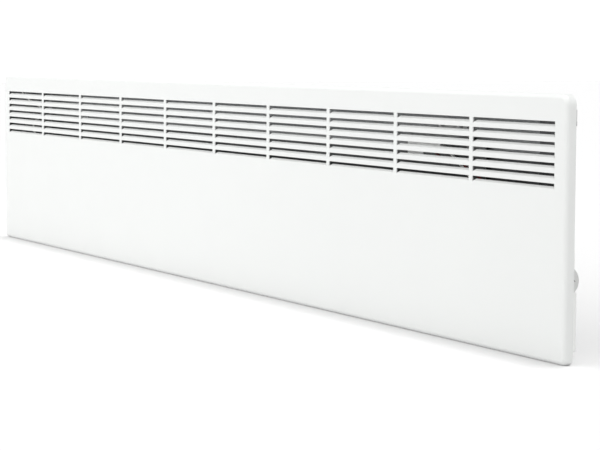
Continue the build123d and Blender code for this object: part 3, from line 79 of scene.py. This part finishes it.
# ------------------------------------------------------------------
# material helpers
# ------------------------------------------------------------------
class Mat:
    """A small builder for one procedural material."""

    def __init__(self, name, color, rough=0.5, metallic=0.0, spec=None, coat=0.0, coat_rough=0.1):
        self.m = bpy.data.materials.new(name)
        self.m.use_nodes = True
        self.nt = self.m.node_tree
        self.nt.nodes.clear()
        self.out = self.nt.nodes.new("ShaderNodeOutputMaterial")
        self.b = self.nt.nodes.new("ShaderNodeBsdfPrincipled")
        self.nt.links.new(self.b.outputs[0], self.out.inputs[0])
        self.b.inputs["Base Color"].default_value = (*color, 1)
        self.b.inputs["Roughness"].default_value = rough
        self.b.inputs["Metallic"].default_value = metallic
        if spec is not None:
            self.b.inputs["Specular IOR Level"].default_value = spec
        if coat:
            self.b.inputs["Coat Weight"].default_value = coat
            self.b.inputs["Coat Roughness"].default_value = coat_rough
        self.tc = self.nt.nodes.new("ShaderNodeTexCoord")
        self.color = color
        self.rough = rough
        self.height = None

    def node(self, kind, **inputs):
        n = self.nt.nodes.new(kind)
        for k, v in inputs.items():
            n.inputs[k.replace("_", " ")].default_value = v
        return n

    def link(self, a, b):
        self.nt.links.new(a, b)

    def coords(self, scale=(1, 1, 1), rot=(0, 0, 0)):
        mp = self.nt.nodes.new("ShaderNodeMapping")
        mp.inputs["Scale"].default_value = scale
        mp.inputs["Rotation"].default_value = rot
        self.link(self.tc.outputs["Object"], mp.inputs["Vector"])
        return mp.outputs[0]

    def noise(self, scale, detail=2.0, rough=0.5, stretch=(1, 1, 1), distortion=0.0):
        n = self.nt.nodes.new("ShaderNodeTexNoise")
        n.inputs["Scale"].default_value = scale
        n.inputs["Detail"].default_value = detail
        n.inputs["Roughness"].default_value = rough
        n.inputs["Distortion"].default_value = distortion
        self.link(self.coords(stretch), n.inputs["Vector"])
        return n.outputs["Fac"]

    def voronoi(self, scale, stretch=(1, 1, 1), feature="F1", out="Color"):
        n = self.nt.nodes.new("ShaderNodeTexVoronoi")
        n.feature = feature
        n.inputs["Scale"].default_value = scale
        self.link(self.coords(stretch), n.inputs["Vector"])
        return n.outputs[out]

    def ramp(self, fac, stops):
        r = self.nt.nodes.new("ShaderNodeValToRGB")
        els = r.color_ramp.elements
        while len(els) < len(stops):
            els.new(0.5)
        for e, (p, c) in zip(els, stops):
            e.position = p
            e.color = (*c, 1) if len(c) == 3 else c
        self.link(fac, r.inputs[0])
        return r.outputs[0]

    def vary_color(self, fac, dark, light, lo=0.3, hi=0.7):
        """Base colour runs between two tones with a texture."""
        self.link(self.ramp(fac, [(lo, dark), (hi, light)]), self.b.inputs["Base Color"])

    def vary_rough(self, fac, lo, hi, a=0.3, b=0.7):
        mr = self.nt.nodes.new("ShaderNodeMapRange")
        mr.inputs["From Min"].default_value = a
        mr.inputs["From Max"].default_value = b
        mr.inputs["To Min"].default_value = lo
        mr.inputs["To Max"].default_value = hi
        self.link(fac, mr.inputs["Value"])
        self.link(mr.outputs[0], self.b.inputs["Roughness"])

    def bump(self, fac, distance, strength=1.0):
        """Adds one bump layer under the last one."""
        bp = self.nt.nodes.new("ShaderNodeBump")
        bp.inputs["Strength"].default_value = strength
        bp.inputs["Distance"].default_value = distance
        self.link(fac, bp.inputs["Height"])
        if self.height is not None:
            self.link(self.height, bp.inputs["Normal"])
        self.height = bp.outputs[0]
        self.link(self.height, self.b.inputs["Normal"])


    def paint_shade_band(self, keep, bottom, top):
        """Painted shade: front-facing surfaces darker in a band of heights, standing in for the shade behind the
        lower louvre rows; keep is the share of colour left in the band.
        """
        link = self.b.inputs["Base Color"].links[0]
        colour = link.from_socket
        sep = self.nt.nodes.new("ShaderNodeSeparateXYZ")
        self.link(self.tc.outputs["Object"], sep.inputs[0])
        facing = self.nt.nodes.new("ShaderNodeSeparateXYZ")
        self.link(self.tc.outputs["Normal"], facing.inputs[0])

        def step(socket, a, b, lo, hi):
            mr = self.nt.nodes.new("ShaderNodeMapRange")
            mr.interpolation_type = "SMOOTHSTEP"
            for name, value in (("From Min", a), ("From Max", b), ("To Min", lo), ("To Max", hi)):
                mr.inputs[name].default_value = value
            self.link(socket, mr.inputs["Value"])
            return mr.outputs[0]

        def times(a, b):
            n = self.nt.nodes.new("ShaderNodeMath")
            n.operation = "MULTIPLY"
            self.link(a, n.inputs[0])
            self.link(b, n.inputs[1])
            return n.outputs[0]

        # 1 in the painted shade zone, 0 outside it; the edge wanders a little with a soft noise
        z = self.nt.nodes.new("ShaderNodeMath")
        z.operation = "MULTIPLY_ADD"
        self.link(self.noise(14.0, 3), z.inputs[0])
        z.inputs[1].default_value = 0.004
        self.link(sep.outputs[2], z.inputs[2])
        zone = times(step(z.outputs[0], bottom[0], bottom[1], 0.0, 1.0), step(z.outputs[0], top[0], top[1], 1.0, 0.0))
        zone = times(zone, step(facing.outputs[1], -0.6, -0.3, 1.0, 0.0))
        mix = self.nt.nodes.new("ShaderNodeMix")
        mix.data_type = "RGBA"
        mix.blend_type = "MULTIPLY"
        mix.clamp_factor = True
        self.link(zone, mix.inputs[0])
        self.link(colour, mix.inputs[6])
        mix.inputs[7].default_value = (keep, keep, keep, 1)
        self.link(mix.outputs[2], self.b.inputs["Base Color"])


def tone(c, k):
    return tuple(min(1.0, max(0.0, x * k)) for x in c)


# the zone behind the lower three louvre rows where shade is painted, as heights in metres
ZONE_LOW, ZONE_HIGH = (-0.095, -0.080), (0.0535, 0.0595)


MATS = {}

# panel: semi-matt white powder coat, faint orange peel
c = (0.676, 0.686, 0.677)
m = Mat("panel_powder_coat", c, 0.42, spec=0.42)
m.vary_color(m.noise(3.0, 3), tone(c, 0.992), tone(c, 1.006))
m.vary_rough(m.noise(22.0, 3), 0.37, 0.46)
m.bump(m.noise(420.0, 2, 0.5), 0.00006, 0.35)
m.bump(m.noise(2600.0, 2, 0.6), 0.00002, 0.35)
MATS["panel_white"] = m.m

# zinc-coated sheet of the casing: small spangle, dulled by the primer rinse
m = Mat("casing_sheet", (0.40, 0.41, 0.42), 0.48, metallic=1.0)
cells = m.voronoi(330.0, out="Color")
sep = m.nt.nodes.new("ShaderNodeSeparateColor")
m.link(cells, sep.inputs[0])
m.vary_color(sep.outputs[0], (0.385, 0.395, 0.405), (0.435, 0.443, 0.45), 0.0, 1.0)
m.vary_rough(sep.outputs[1], 0.42, 0.54, 0.0, 1.0)
m.bump(m.noise(5.0, 2, 0.4, stretch=(0.5, 1, 1)), 0.0004, 0.25)
m.bump(m.noise(1100.0, 3, 0.6), 0.00002, 0.4)
# painted shade: the casing's front-facing inner walls are darkened behind the lower louvre rows
m.paint_shade_band(0.42, ZONE_LOW, ZONE_HIGH)
MATS["casing_zinc"] = m.m

# bracket: white powder coat with a slightly coarser grain
c = (0.73, 0.735, 0.727)
m = Mat("bracket_powder_coat", c, 0.46, spec=0.42)
m.vary_color(m.noise(30.0, 4), tone(c, 0.96), tone(c, 1.02))
m.vary_rough(m.noise(80.0, 4), 0.38, 0.58)
m.bump(m.noise(650.0, 3, 0.55), 0.00009, 0.4)
MATS["bracket_white"] = m.m

# the limiter's plate: bright white primer
c = (0.87, 0.875, 0.865)
m = Mat("plate_primer", c, 0.5, spec=0.4)
m.vary_color(m.noise(40.0, 4), tone(c, 0.96), tone(c, 1.02))
m.vary_rough(m.noise(90.0, 4), 0.44, 0.6)
m.bump(m.noise(700.0, 3, 0.55), 0.00008, 0.4)
LIMITER_PLATE = m.m

# galvanised sheet with spangle
m = Mat("galvanised_sheet", (0.62, 0.63, 0.64), 0.42, metallic=1.0)
cells = m.voronoi(260.0, out="Color")
sep = m.nt.nodes.new("ShaderNodeSeparateColor")
m.link(cells, sep.inputs[0])
m.vary_color(sep.outputs[0], (0.54, 0.552, 0.565), (0.66, 0.67, 0.675), 0.0, 1.0)
m.vary_rough(sep.outputs[1], 0.34, 0.5, 0.0, 1.0)
m.bump(m.noise(900.0, 3, 0.6), 0.00003, 0.4)
MATS["galvanised"] = m.m

# bright zinc fasteners
m = Mat("bright_zinc", (0.66, 0.67, 0.69), 0.3, metallic=1.0)
m.vary_color(m.noise(500.0, 3), (0.58, 0.60, 0.64), (0.74, 0.73, 0.70))
m.vary_rough(m.noise(1400.0, 3), 0.22, 0.42)
m.bump(m.noise(3000.0, 2), 0.00002, 0.4)
MATS["zinc_screw"] = m.m

m = Mat("satin_aluminium", (0.72, 0.73, 0.74), 0.38, metallic=1.0)
m.vary_color(m.noise(700.0, 3), (0.64, 0.65, 0.66), (0.78, 0.785, 0.79))
m.vary_rough(m.noise(1800.0, 3), 0.3, 0.5)
m.bump(m.noise(3600.0, 2), 0.00002, 0.4)
MATS["rivet_alu"] = m.m

# extruded fins: die lines along the length, dull oxide
m = Mat("extruded_aluminium", (0.66, 0.67, 0.68), 0.45, metallic=1.0)
m.vary_color(m.noise(60.0, 4, stretch=(0.25, 1, 1)), (0.56, 0.57, 0.58), (0.70, 0.705, 0.71))
m.vary_rough(m.noise(900.0, 3, stretch=(0.02, 1, 1)), 0.35, 0.58)
m.bump(m.noise(1500.0, 2, stretch=(0.01, 1, 1)), 0.00003, 0.5)
MATS["fin_alu"] = m.m

m = Mat("rolled_aluminium", (0.42, 0.425, 0.43), 0.36, metallic=1.0)
m.vary_color(m.noise(7.0, 3), (0.36, 0.365, 0.37), (0.47, 0.475, 0.48))
m.vary_rough(m.noise(700.0, 3, stretch=(0.01, 1, 1)), 0.28, 0.46)
m.bump(m.noise(1200.0, 2, stretch=(0.008, 1, 1)), 0.00002, 0.5)
# painted shade: the shield's front face is darkened behind the lower louvre rows
m.paint_shade_band(0.40, ZONE_LOW, ZONE_HIGH)
MATS["shield_alu"] = m.m

m = Mat("heated_sheath", (0.40, 0.36, 0.32), 0.42, metallic=1.0)
f = m.noise(28.0, 4, stretch=(0.4, 1, 1))
m.link(m.ramp(f, [(0.25, (0.30, 0.27, 0.30)), (0.5, (0.46, 0.38, 0.28)), (0.75, (0.52, 0.49, 0.44))]), m.b.inputs["Base Color"])
m.vary_rough(m.noise(500.0, 3), 0.32, 0.55)
m.bump(m.noise(1600.0, 2, stretch=(0.05, 1, 1)), 0.00003, 0.4)
MATS["rod_steel"] = m.m

m = Mat("steatite", (0.84, 0.81, 0.73), 0.72)
m.vary_color(m.noise(350.0, 4), (0.78, 0.745, 0.66), (0.88, 0.855, 0.79))
m.vary_rough(m.noise(900.0, 3), 0.6, 0.82)
m.bump(m.noise(1800.0, 3), 0.00006, 0.6)
MATS["steatite"] = m.m

m = Mat("tinned_brass", (0.76, 0.66, 0.42), 0.3, metallic=1.0)
m.vary_color(m.noise(260.0, 4), (0.70, 0.66, 0.54), (0.80, 0.64, 0.36))
m.vary_rough(m.noise(1200.0, 3), 0.22, 0.42)
m.bump(m.noise(2600.0, 2), 0.00002, 0.4)
MATS["brass_tab"] = m.m

m = Mat("drawn_copper", (0.75, 0.45, 0.31), 0.32, metallic=1.0)
m.vary_color(m.noise(120.0, 4), (0.60, 0.35, 0.25), (0.82, 0.50, 0.36))
m.vary_rough(m.noise(700.0, 3), 0.24, 0.45)
m.bump(m.noise(2200.0, 2, stretch=(0.1, 1, 1)), 0.00002, 0.4)
MATS["copper"] = m.m

# mouldings
c = (0.86, 0.865, 0.852)
m = Mat("housing_plastic", c, 0.45, spec=0.5)
m.vary_color(m.noise(40.0, 3), tone(c, 0.985), tone(c, 1.01))
m.vary_rough(m.noise(900.0, 3), 0.4, 0.52)
m.bump(m.noise(2400.0, 3, 0.6), 0.00004, 0.5)
MATS["white_plastic"] = m.m

c = (0.60, 0.605, 0.597)
m = Mat("knob_plastic", c, 0.36, spec=0.5)
m.vary_color(m.noise(60.0, 3), tone(c, 0.98), tone(c, 1.015))
m.vary_rough(m.noise(800.0, 3), 0.3, 0.44)
m.bump(m.noise(3000.0, 2, 0.6), 0.00003, 0.4)
MATS["knob_plastic"] = m.m

c = (0.035, 0.035, 0.037)
m = Mat("rocker_plastic", c, 0.34, spec=0.5)
m.vary_color(m.noise(90.0, 3), tone(c, 0.85), tone(c, 1.2))
m.vary_rough(m.noise(900.0, 3), 0.27, 0.42)
m.bump(m.noise(2600.0, 2, 0.6), 0.00003, 0.4)
MATS["rocker_plastic"] = m.m

c = (0.028, 0.028, 0.030)
m = Mat("dark_moulding", c, 0.58, spec=0.45)
m.vary_color(m.noise(120.0, 3), tone(c, 0.8), tone(c, 1.35))
m.vary_rough(m.noise(1100.0, 3), 0.48, 0.7)
m.bump(m.noise(2800.0, 3, 0.6), 0.00005, 0.5)
MATS["dark_plastic"] = m.m

c = (0.80, 0.79, 0.73)
m = Mat("natural_nylon", c, 0.45, spec=0.5)
m.b.inputs["Subsurface Weight"].default_value = 0.25
m.b.inputs["Subsurface Radius"].default_value = (0.0016, 0.0013, 0.0010)
m.b.inputs["Subsurface Scale"].default_value = 1.0
m.vary_color(m.noise(160.0, 3), tone(c, 0.96), tone(c, 1.02))
m.vary_rough(m.noise(900.0, 3), 0.36, 0.55)
m.bump(m.noise(2000.0, 2, 0.6), 0.00004, 0.5)
MATS["natural_nylon"] = m.m

c = (0.060, 0.060, 0.062)
m = Mat("grey_rubber", c, 0.75, spec=0.35)
m.vary_color(m.noise(300.0, 4), tone(c, 0.8), tone(c, 1.5))
m.vary_rough(m.noise(1200.0, 3), 0.66, 0.86)
m.bump(m.noise(2600.0, 3, 0.6), 0.00006, 0.6)
MATS["grey_rubber"] = m.m

c = (0.31, 0.31, 0.315)
m = Mat("light_rubber", c, 0.75, spec=0.35)
m.vary_color(m.noise(300.0, 4), tone(c, 0.85), tone(c, 1.15))
m.vary_rough(m.noise(1200.0, 3), 0.66, 0.86)
m.bump(m.noise(2600.0, 3, 0.6), 0.00006, 0.6)
MATS["light_rubber"] = m.m

c = (0.47, 0.472, 0.468)
m = Mat("lug_plastic", c, 0.5, spec=0.45)
m.vary_color(m.noise(120.0, 3), tone(c, 0.95), tone(c, 1.04))
m.vary_rough(m.noise(900.0, 3), 0.42, 0.6)
m.bump(m.noise(2400.0, 3, 0.6), 0.00004, 0.5)
MATS["lug_grey"] = m.m

# baffles: matt, slightly gritty paint; their near-black colour is painted shade for the dark cavity behind the louvre
# ends
c = (0.150, 0.150, 0.153)
m = Mat("baffle_painted_shade", c, 0.82, spec=0.25)
m.vary_color(m.noise(200.0, 4), tone(c, 0.85), tone(c, 1.2))
# painted shade: the baffles' front faces are darkened further behind the lower louvre rows
m.paint_shade_band(0.40, ZONE_LOW, ZONE_HIGH)
m.vary_rough(m.noise(900.0, 3), 0.74, 0.92)
m.bump(m.noise(1500.0, 3, 0.6), 0.00008, 0.6)
MATS["baffle_black"] = m.m

c = (0.42, 0.075, 0.045)
m = Mat("silicone_grommet", c, 0.6, spec=0.4)
m.vary_color(m.noise(260.0, 3), tone(c, 0.85), tone(c, 1.15))
m.vary_rough(m.noise(1200.0, 3), 0.5, 0.72)
m.bump(m.noise(2200.0, 3, 0.6), 0.00005, 0.5)
MATS["silicone_red"] = m.m


def lead_material(name, color):
    """Extruded insulation: fine length-wise drag lines and a slight sheen."""
    m = Mat(name, color, 0.42, spec=0.5)
    m.vary_color(m.noise(240.0, 3), tone(color, 0.9), tone(color, 1.08))
    m.vary_rough(m.noise(1400.0, 3), 0.34, 0.52)
    m.bump(m.noise(3200.0, 2, 0.6), 0.00003, 0.5)
    return m


MATS["lead_brown"] = lead_material("brown_insulation", (0.135, 0.052, 0.024)).m
MATS["lead_white"] = lead_material("white_insulation", (0.82, 0.82, 0.79)).m
MATS["lead_red"] = lead_material("red_insulation", (0.24, 0.026, 0.022)).m

# earth lead: yellow with a green stripe along it
m = lead_material("green_yellow_insulation", (0.10, 0.30, 0.06))
wave = m.nt.nodes.new("ShaderNodeTexWave")
wave.wave_type = "BANDS"
wave.bands_direction = "Z"
wave.inputs["Scale"].default_value = 95.0
wave.inputs["Distortion"].default_value = 0.2
m.link(m.coords((1, 1, 1)), wave.inputs["Vector"])
m.link(m.ramp(wave.outputs["Fac"], [(0.46, (0.055, 0.22, 0.045)), (0.54, (0.74, 0.60, 0.05))]), m.b.inputs["Base Color"])
MATS["lead_green"] = m.m

# ink of the printed marks
c = (0.075, 0.078, 0.082)
m = Mat("mark_ink", c, 0.55, spec=0.4)
m.vary_color(m.noise(900.0, 3), tone(c, 0.8), tone(c, 1.35))
m.vary_rough(m.noise(2000.0, 2), 0.45, 0.65)
INK_DARK = m.m

c = (0.80, 0.80, 0.78)
m = Mat("mark_ink_white", c, 0.5, spec=0.4)
m.vary_color(m.noise(900.0, 3), tone(c, 0.92), tone(c, 1.03))
m.vary_rough(m.noise(2000.0, 2), 0.42, 0.62)
INK_WHITE = m.m

# give every CAD node its material
for part in frame["record"]["subparts"]:
    obj = NODES[part["node"]]
    mat = MATS[part["material_slot"]]
    obj.data.materials.clear()
    obj.data.materials.append(LIMITER_PLATE if part["node"] == "limiter_bracket" else mat)


# ------------------------------------------------------------------
# small pieces added to the CAD model
# ------------------------------------------------------------------
def piece(name, bm, mat, body):
    bmesh.ops.recalc_face_normals(bm, faces=bm.faces)
    me = bpy.data.meshes.new(name)
    bm.to_mesh(me)
    bm.free()
    me.materials.append(mat)
    ob = bpy.data.objects.new(name, me)
    scene.collection.objects.link(ob)
    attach(ob, body)
    return ob


def prism(bm, pts, origin, u, v, w, thick, round_over=0.0):
    """Adds the outline pts (along u and v), thick along w; its outer edges may be rounded."""
    origin, u, v, w = (Vector(q) for q in (origin, u, v, w))
    low = [bm.verts.new(origin + u * a + v * b) for a, b in pts]
    face = bm.faces.new(low)
    out = bmesh.ops.extrude_face_region(bm, geom=[face])
    top = [g for g in out["geom"] if isinstance(g, bmesh.types.BMVert)]
    bmesh.ops.translate(bm, verts=top, vec=w * thick)
    if round_over:
        edges = [e for e in bm.edges if e.verts[0] in top and e.verts[1] in top]
        bmesh.ops.bevel(bm, geom=edges, offset=round_over, segments=2, affect="EDGES", profile=0.5)


def rounded_outline(hx, hy, r, steps=5):
    pts = []
    for cx, cy, a0 in ((hx - r, hy - r, 0), (-hx + r, hy - r, 90), (-hx + r, -hy + r, 180), (hx - r, -hy + r, 270)):
        for i in range(steps + 1):
            a = math.radians(a0 + 90.0 * i / steps)
            pts.append((cx + r * math.cos(a), cy + r * math.sin(a)))
    return pts


def numeral_strokes(digit):
    """Strokes of one digit in a cell 1 wide and 1.6 high, centred."""
    def arc(cx, cy, rx, ry, a0, a1, n=14):
        return [
            (cx + rx * math.cos(math.radians(a0 + (a1 - a0) * i / n)), cy + ry * math.sin(math.radians(a0 + (a1 - a0) * i / n)))
            for i in range(n + 1)
        ]
    return {
        1: [[(-0.28, 0.48), (0.05, 0.8), (0.05, -0.8)]],
        2: [arc(0, 0.38, 0.46, 0.42, 165, -25) + [(-0.48, -0.8), (0.5, -0.8)]],
        3: [arc(0, 0.40, 0.42, 0.40, 150, -90), arc(0, -0.38, 0.48, 0.42, 90, -150)],
        4: [[(0.22, -0.8), (0.22, 0.8), (-0.52, -0.32), (0.52, -0.32)]],
        5: [[(0.42, 0.8), (-0.34, 0.8), (-0.40, 0.12)] + arc(0, -0.30, 0.46, 0.50, 135, -150)],
        6: [arc(0, -0.34, 0.46, 0.46, 0, 360, 22), [(0.30, 0.8)] + arc(0.52, -0.34, 0.98, 1.0, 118, 180, 8)],
    }[digit]


def stroke_mesh(bm, line, place, half, thick, w):
    """A flat ribbon of half width along a line of (a, b) points; place maps them into space."""
    n = len(line)
    left, right = [], []
    for i in range(n):
        a = Vector(line[max(i - 1, 0)])
        b = Vector(line[min(i + 1, n - 1)])
        here = Vector(line[i])
        d1 = (here - a).normalized() if i else (b - here).normalized()
        d2 = (b - here).normalized() if i < n - 1 else d1
        t = (d1 + d2)
        t = t.normalized() if t.length > 1e-4 else d1
        nrm = Vector((-t.y, t.x))
        k = min(2.2, 1.0 / max(0.45, abs(t.dot(d1))))
        left.append(here + nrm * half * k)
        right.append(here - nrm * half * k)
    for z0, z1 in ((0.0, thick),):
        grid = []
        for l, r in zip(left, right):
            grid.append([bm.verts.new(place(q) + w * z) for q, z in ((l, z0), (l, z1), (r, z1), (r, z0))])
        for g, h in zip(grid, grid[1:]):
            for k in range(4):
                bm.faces.new((g[k], g[(k + 1) % 4], h[(k + 1) % 4], h[k]))
        bm.faces.new(grid[0][::-1])
        bm.faces.new(grid[-1])


# numbers 1 to 6 round the knob's face; the groove is the zero
bm = bmesh.new()
for digit in range(1, 7):
    phi = math.radians(45.0 * digit)
    out = Vector((0.0, -math.sin(phi), math.cos(phi)))
    side = Vector((0.0, math.cos(phi), math.sin(phi)))
    mid = Vector(DIAL) + out * 0.0070 + Vector((-0.00002, 0, 0))
    for line in numeral_strokes(digit):
        stroke_mesh(
            bm, line, lambda q, m=mid, o=out, s=side: m + s * (q[0] * 0.0018) + o * (q[1] * 0.0018),
            0.12, 0.00010, Vector((1, 0, 0)),
        )
piece("dial_numbers", bm, INK_DARK, "thermostat_dial")

# index mark on the housing, above the knob
bm = bmesh.new()
prism(
    bm, [(-0.0017, 0.0034), (0.0017, 0.0034), (0.0, 0.0004)],
    (HOUSE_X - 0.00002, DIAL[1], DIAL[2] + 0.0146), (0, 1, 0), (0, 0, 1), (1, 0, 0), 0.00016, 0.00006,
)
piece("dial_index", bm, INK_DARK, "heater")

# on and off marks on the rocker's two slopes, tilted as at rest
tilt = math.radians(-10.0)
r_out = Vector((math.cos(tilt), 0.0, -math.sin(tilt)))
r_up = Vector((math.sin(tilt), 0.0, math.cos(tilt)))


def on_rocker(a, b):
    return Vector(ROCK) + r_up * a + r_out * b


slope = math.atan2(0.85, 4.3)
for sign, mark in ((1, "on"), (-1, "off")):
    up = (r_up * math.cos(slope) + r_out * (sign * math.sin(slope))).normalized()
    nrm = Vector((0, 1, 0)).cross(up)
    nrm = nrm if nrm.dot(r_out) > 0 else -nrm
    mid = on_rocker(sign * 0.0064, 0.00375 + 0.00085 * (6.4 - 4.4) / 4.3) - nrm * 0.00002
    bm = bmesh.new()
    if mark == "on":
        prism(bm, rounded_outline(0.00032, 0.0017, 0.0003, 3), mid, (0, 1, 0), up, nrm, 0.00010)
    else:
        ring = [(math.cos(math.radians(a)) * 0.8, math.sin(math.radians(a)) * 1.0) for a in range(0, 361, 12)]
        stroke_mesh(
            bm, ring, lambda q, m=mid, u=up: m + Vector((0, 1, 0)) * (q[0] * 0.0017) + u * (q[1] * 0.0017),
            0.16, 0.00010, nrm,
        )
    piece("rocker_mark_" + mark, bm, INK_WHITE, "rocker")


# insulating sleeves over the spade tabs
def sleeve(bm, centre, along, half_a, half_b, length, dir_a, dir_b):
    centre, along = Vector(centre), Vector(along)
    prism(
        bm, rounded_outline(half_a, half_b, min(half_a, half_b) * 0.55), centre - along * (length / 2),
        dir_a, dir_b, along, length, 0.0003,
    )


bm = bmesh.new()
for y, h in ((-0.046, 0.049), (-0.046, 0.038)):
    sleeve(bm, (0.6185, y, ZB + h), (1, 0, 0), 0.0019, 0.0036, 0.013, (0, 1, 0), (0, 0, 1))
for y, h in ((-0.042, 0.062), (-0.056, 0.078)):
    sleeve(bm, (0.6030, y, ZB + h), (1, 0, 0), 0.0019, 0.0036, 0.013, (0, 1, 0), (0, 0, 1))
for x in (0.414, 0.422):
    sleeve(bm, (x, -0.0385, ZB + 0.1805), (0, 1, 0), 0.0019, 0.0036, 0.0085, (1, 0, 0), (0, 0, 1))
piece("tab_sleeves", bm, MATS["natural_nylon"], "heater")

# ------------------------------------------------------------------
# stage: pale floor, soft light
# ------------------------------------------------------------------
def make_floor():
    bm = bmesh.new()
    bmesh.ops.create_grid(bm, x_segments=1, y_segments=1, size=14.0)
    me = bpy.data.meshes.new("floor")
    bm.to_mesh(me)
    bm.free()
    ob = bpy.data.objects.new("floor", me)
    scene.collection.objects.link(ob)
    ob.location = (0, 0, ZB - 0.0002)
    mt = Mat("floor_white", (0.665, 0.665, 0.665), 0.85, spec=0.1)
    mt.b.inputs["Emission Color"].default_value = (1, 1, 1, 1)
    mt.b.inputs["Emission Strength"].default_value = 0.08
    # seen from below, the floor lets the view of the object's underside through
    geo = mt.nt.nodes.new("ShaderNodeNewGeometry")
    mix = mt.nt.nodes.new("ShaderNodeMixShader")
    clear = mt.nt.nodes.new("ShaderNodeBsdfTransparent")
    mt.link(geo.outputs["Backfacing"], mix.inputs[0])
    mt.link(mt.b.outputs[0], mix.inputs[1])
    mt.link(clear.outputs[0], mix.inputs[2])
    mt.link(mix.outputs[0], mt.out.inputs[0])
    me.materials.append(mt.m)
    return ob


make_floor()


def area(name, pos, target, size, size_y, power, color=(1, 1, 1)):
    data = bpy.data.lights.new(name, "AREA")
    data.shape = "RECTANGLE"
    data.size, data.size_y = size, size_y
    data.energy = power
    data.color = color
    ob = bpy.data.objects.new(name, data)
    scene.collection.objects.link(ob)
    ob.location = pos
    ob.rotation_euler = (Vector(target) - Vector(pos)).to_track_quat("-Z", "Y").to_euler()
    return ob


def overhead(name, tilt, spread, strength):
    """A large, distant soft box over the heater, tilted a little behind it."""
    data = bpy.data.lights.new(name, "SUN")
    data.angle = math.radians(spread)
    data.energy = strength
    ob = bpy.data.objects.new(name, data)
    scene.collection.objects.link(ob)
    ob.rotation_euler = (math.radians(-tilt), 0.0, 0.0)
    return ob


area("key", (-0.6, -1.25, 0.7), (-0.45, -0.07, 0.0), 1.6, 0.8, 4.89)
overhead("top", 5.6, 11.2, 1.71)

# white surround: brighter from the front and from the right end,
# with a white backdrop behind the heater
world = bpy.data.worlds.new("world")
scene.world = world
world.use_nodes = True
wt = world.node_tree
bg = wt.nodes["Background"]
bg.inputs[0].default_value = (1, 1, 1, 1)
wc = wt.nodes.new("ShaderNodeTexCoord")


def lobe(direction, gain, lo=0.0, hi=1.0, smooth=False):
    """Extra light that grows towards one direction."""
    dot = wt.nodes.new("ShaderNodeVectorMath")
    dot.operation = "DOT_PRODUCT"
    dot.inputs[1].default_value = direction
    wt.links.new(wc.outputs["Generated"], dot.inputs[0])
    mr = wt.nodes.new("ShaderNodeMapRange")
    mr.interpolation_type = "SMOOTHSTEP" if smooth else "LINEAR"
    for socket, value in (("From Min", lo), ("From Max", hi), ("To Min", 0.0), ("To Max", gain)):
        mr.inputs[socket].default_value = value
    wt.links.new(dot.outputs["Value"], mr.inputs["Value"])
    return mr.outputs[0]


def plus(a, b):
    n = wt.nodes.new("ShaderNodeMath")
    n.operation = "ADD"
    for i, v in enumerate((a, b)):
        if isinstance(v, float):
            n.inputs[i].default_value = v
        else:
            wt.links.new(v, n.inputs[i])
    return n.outputs[0]


light = plus(0.50, lobe((0, -1, 0), 1.10))
light = plus(light, lobe((1, 0, 0), 0.514))
light = plus(light, lobe((-0.882, 0.471, 0.0), 0.585, 0.90, 0.975, True))
wt.links.new(light, bg.inputs[1])

scene.view_settings.view_transform = "Standard"
scene.view_settings.look = "None"
scene.view_settings.exposure = 0.0
scene.view_settings.gamma = 1.0
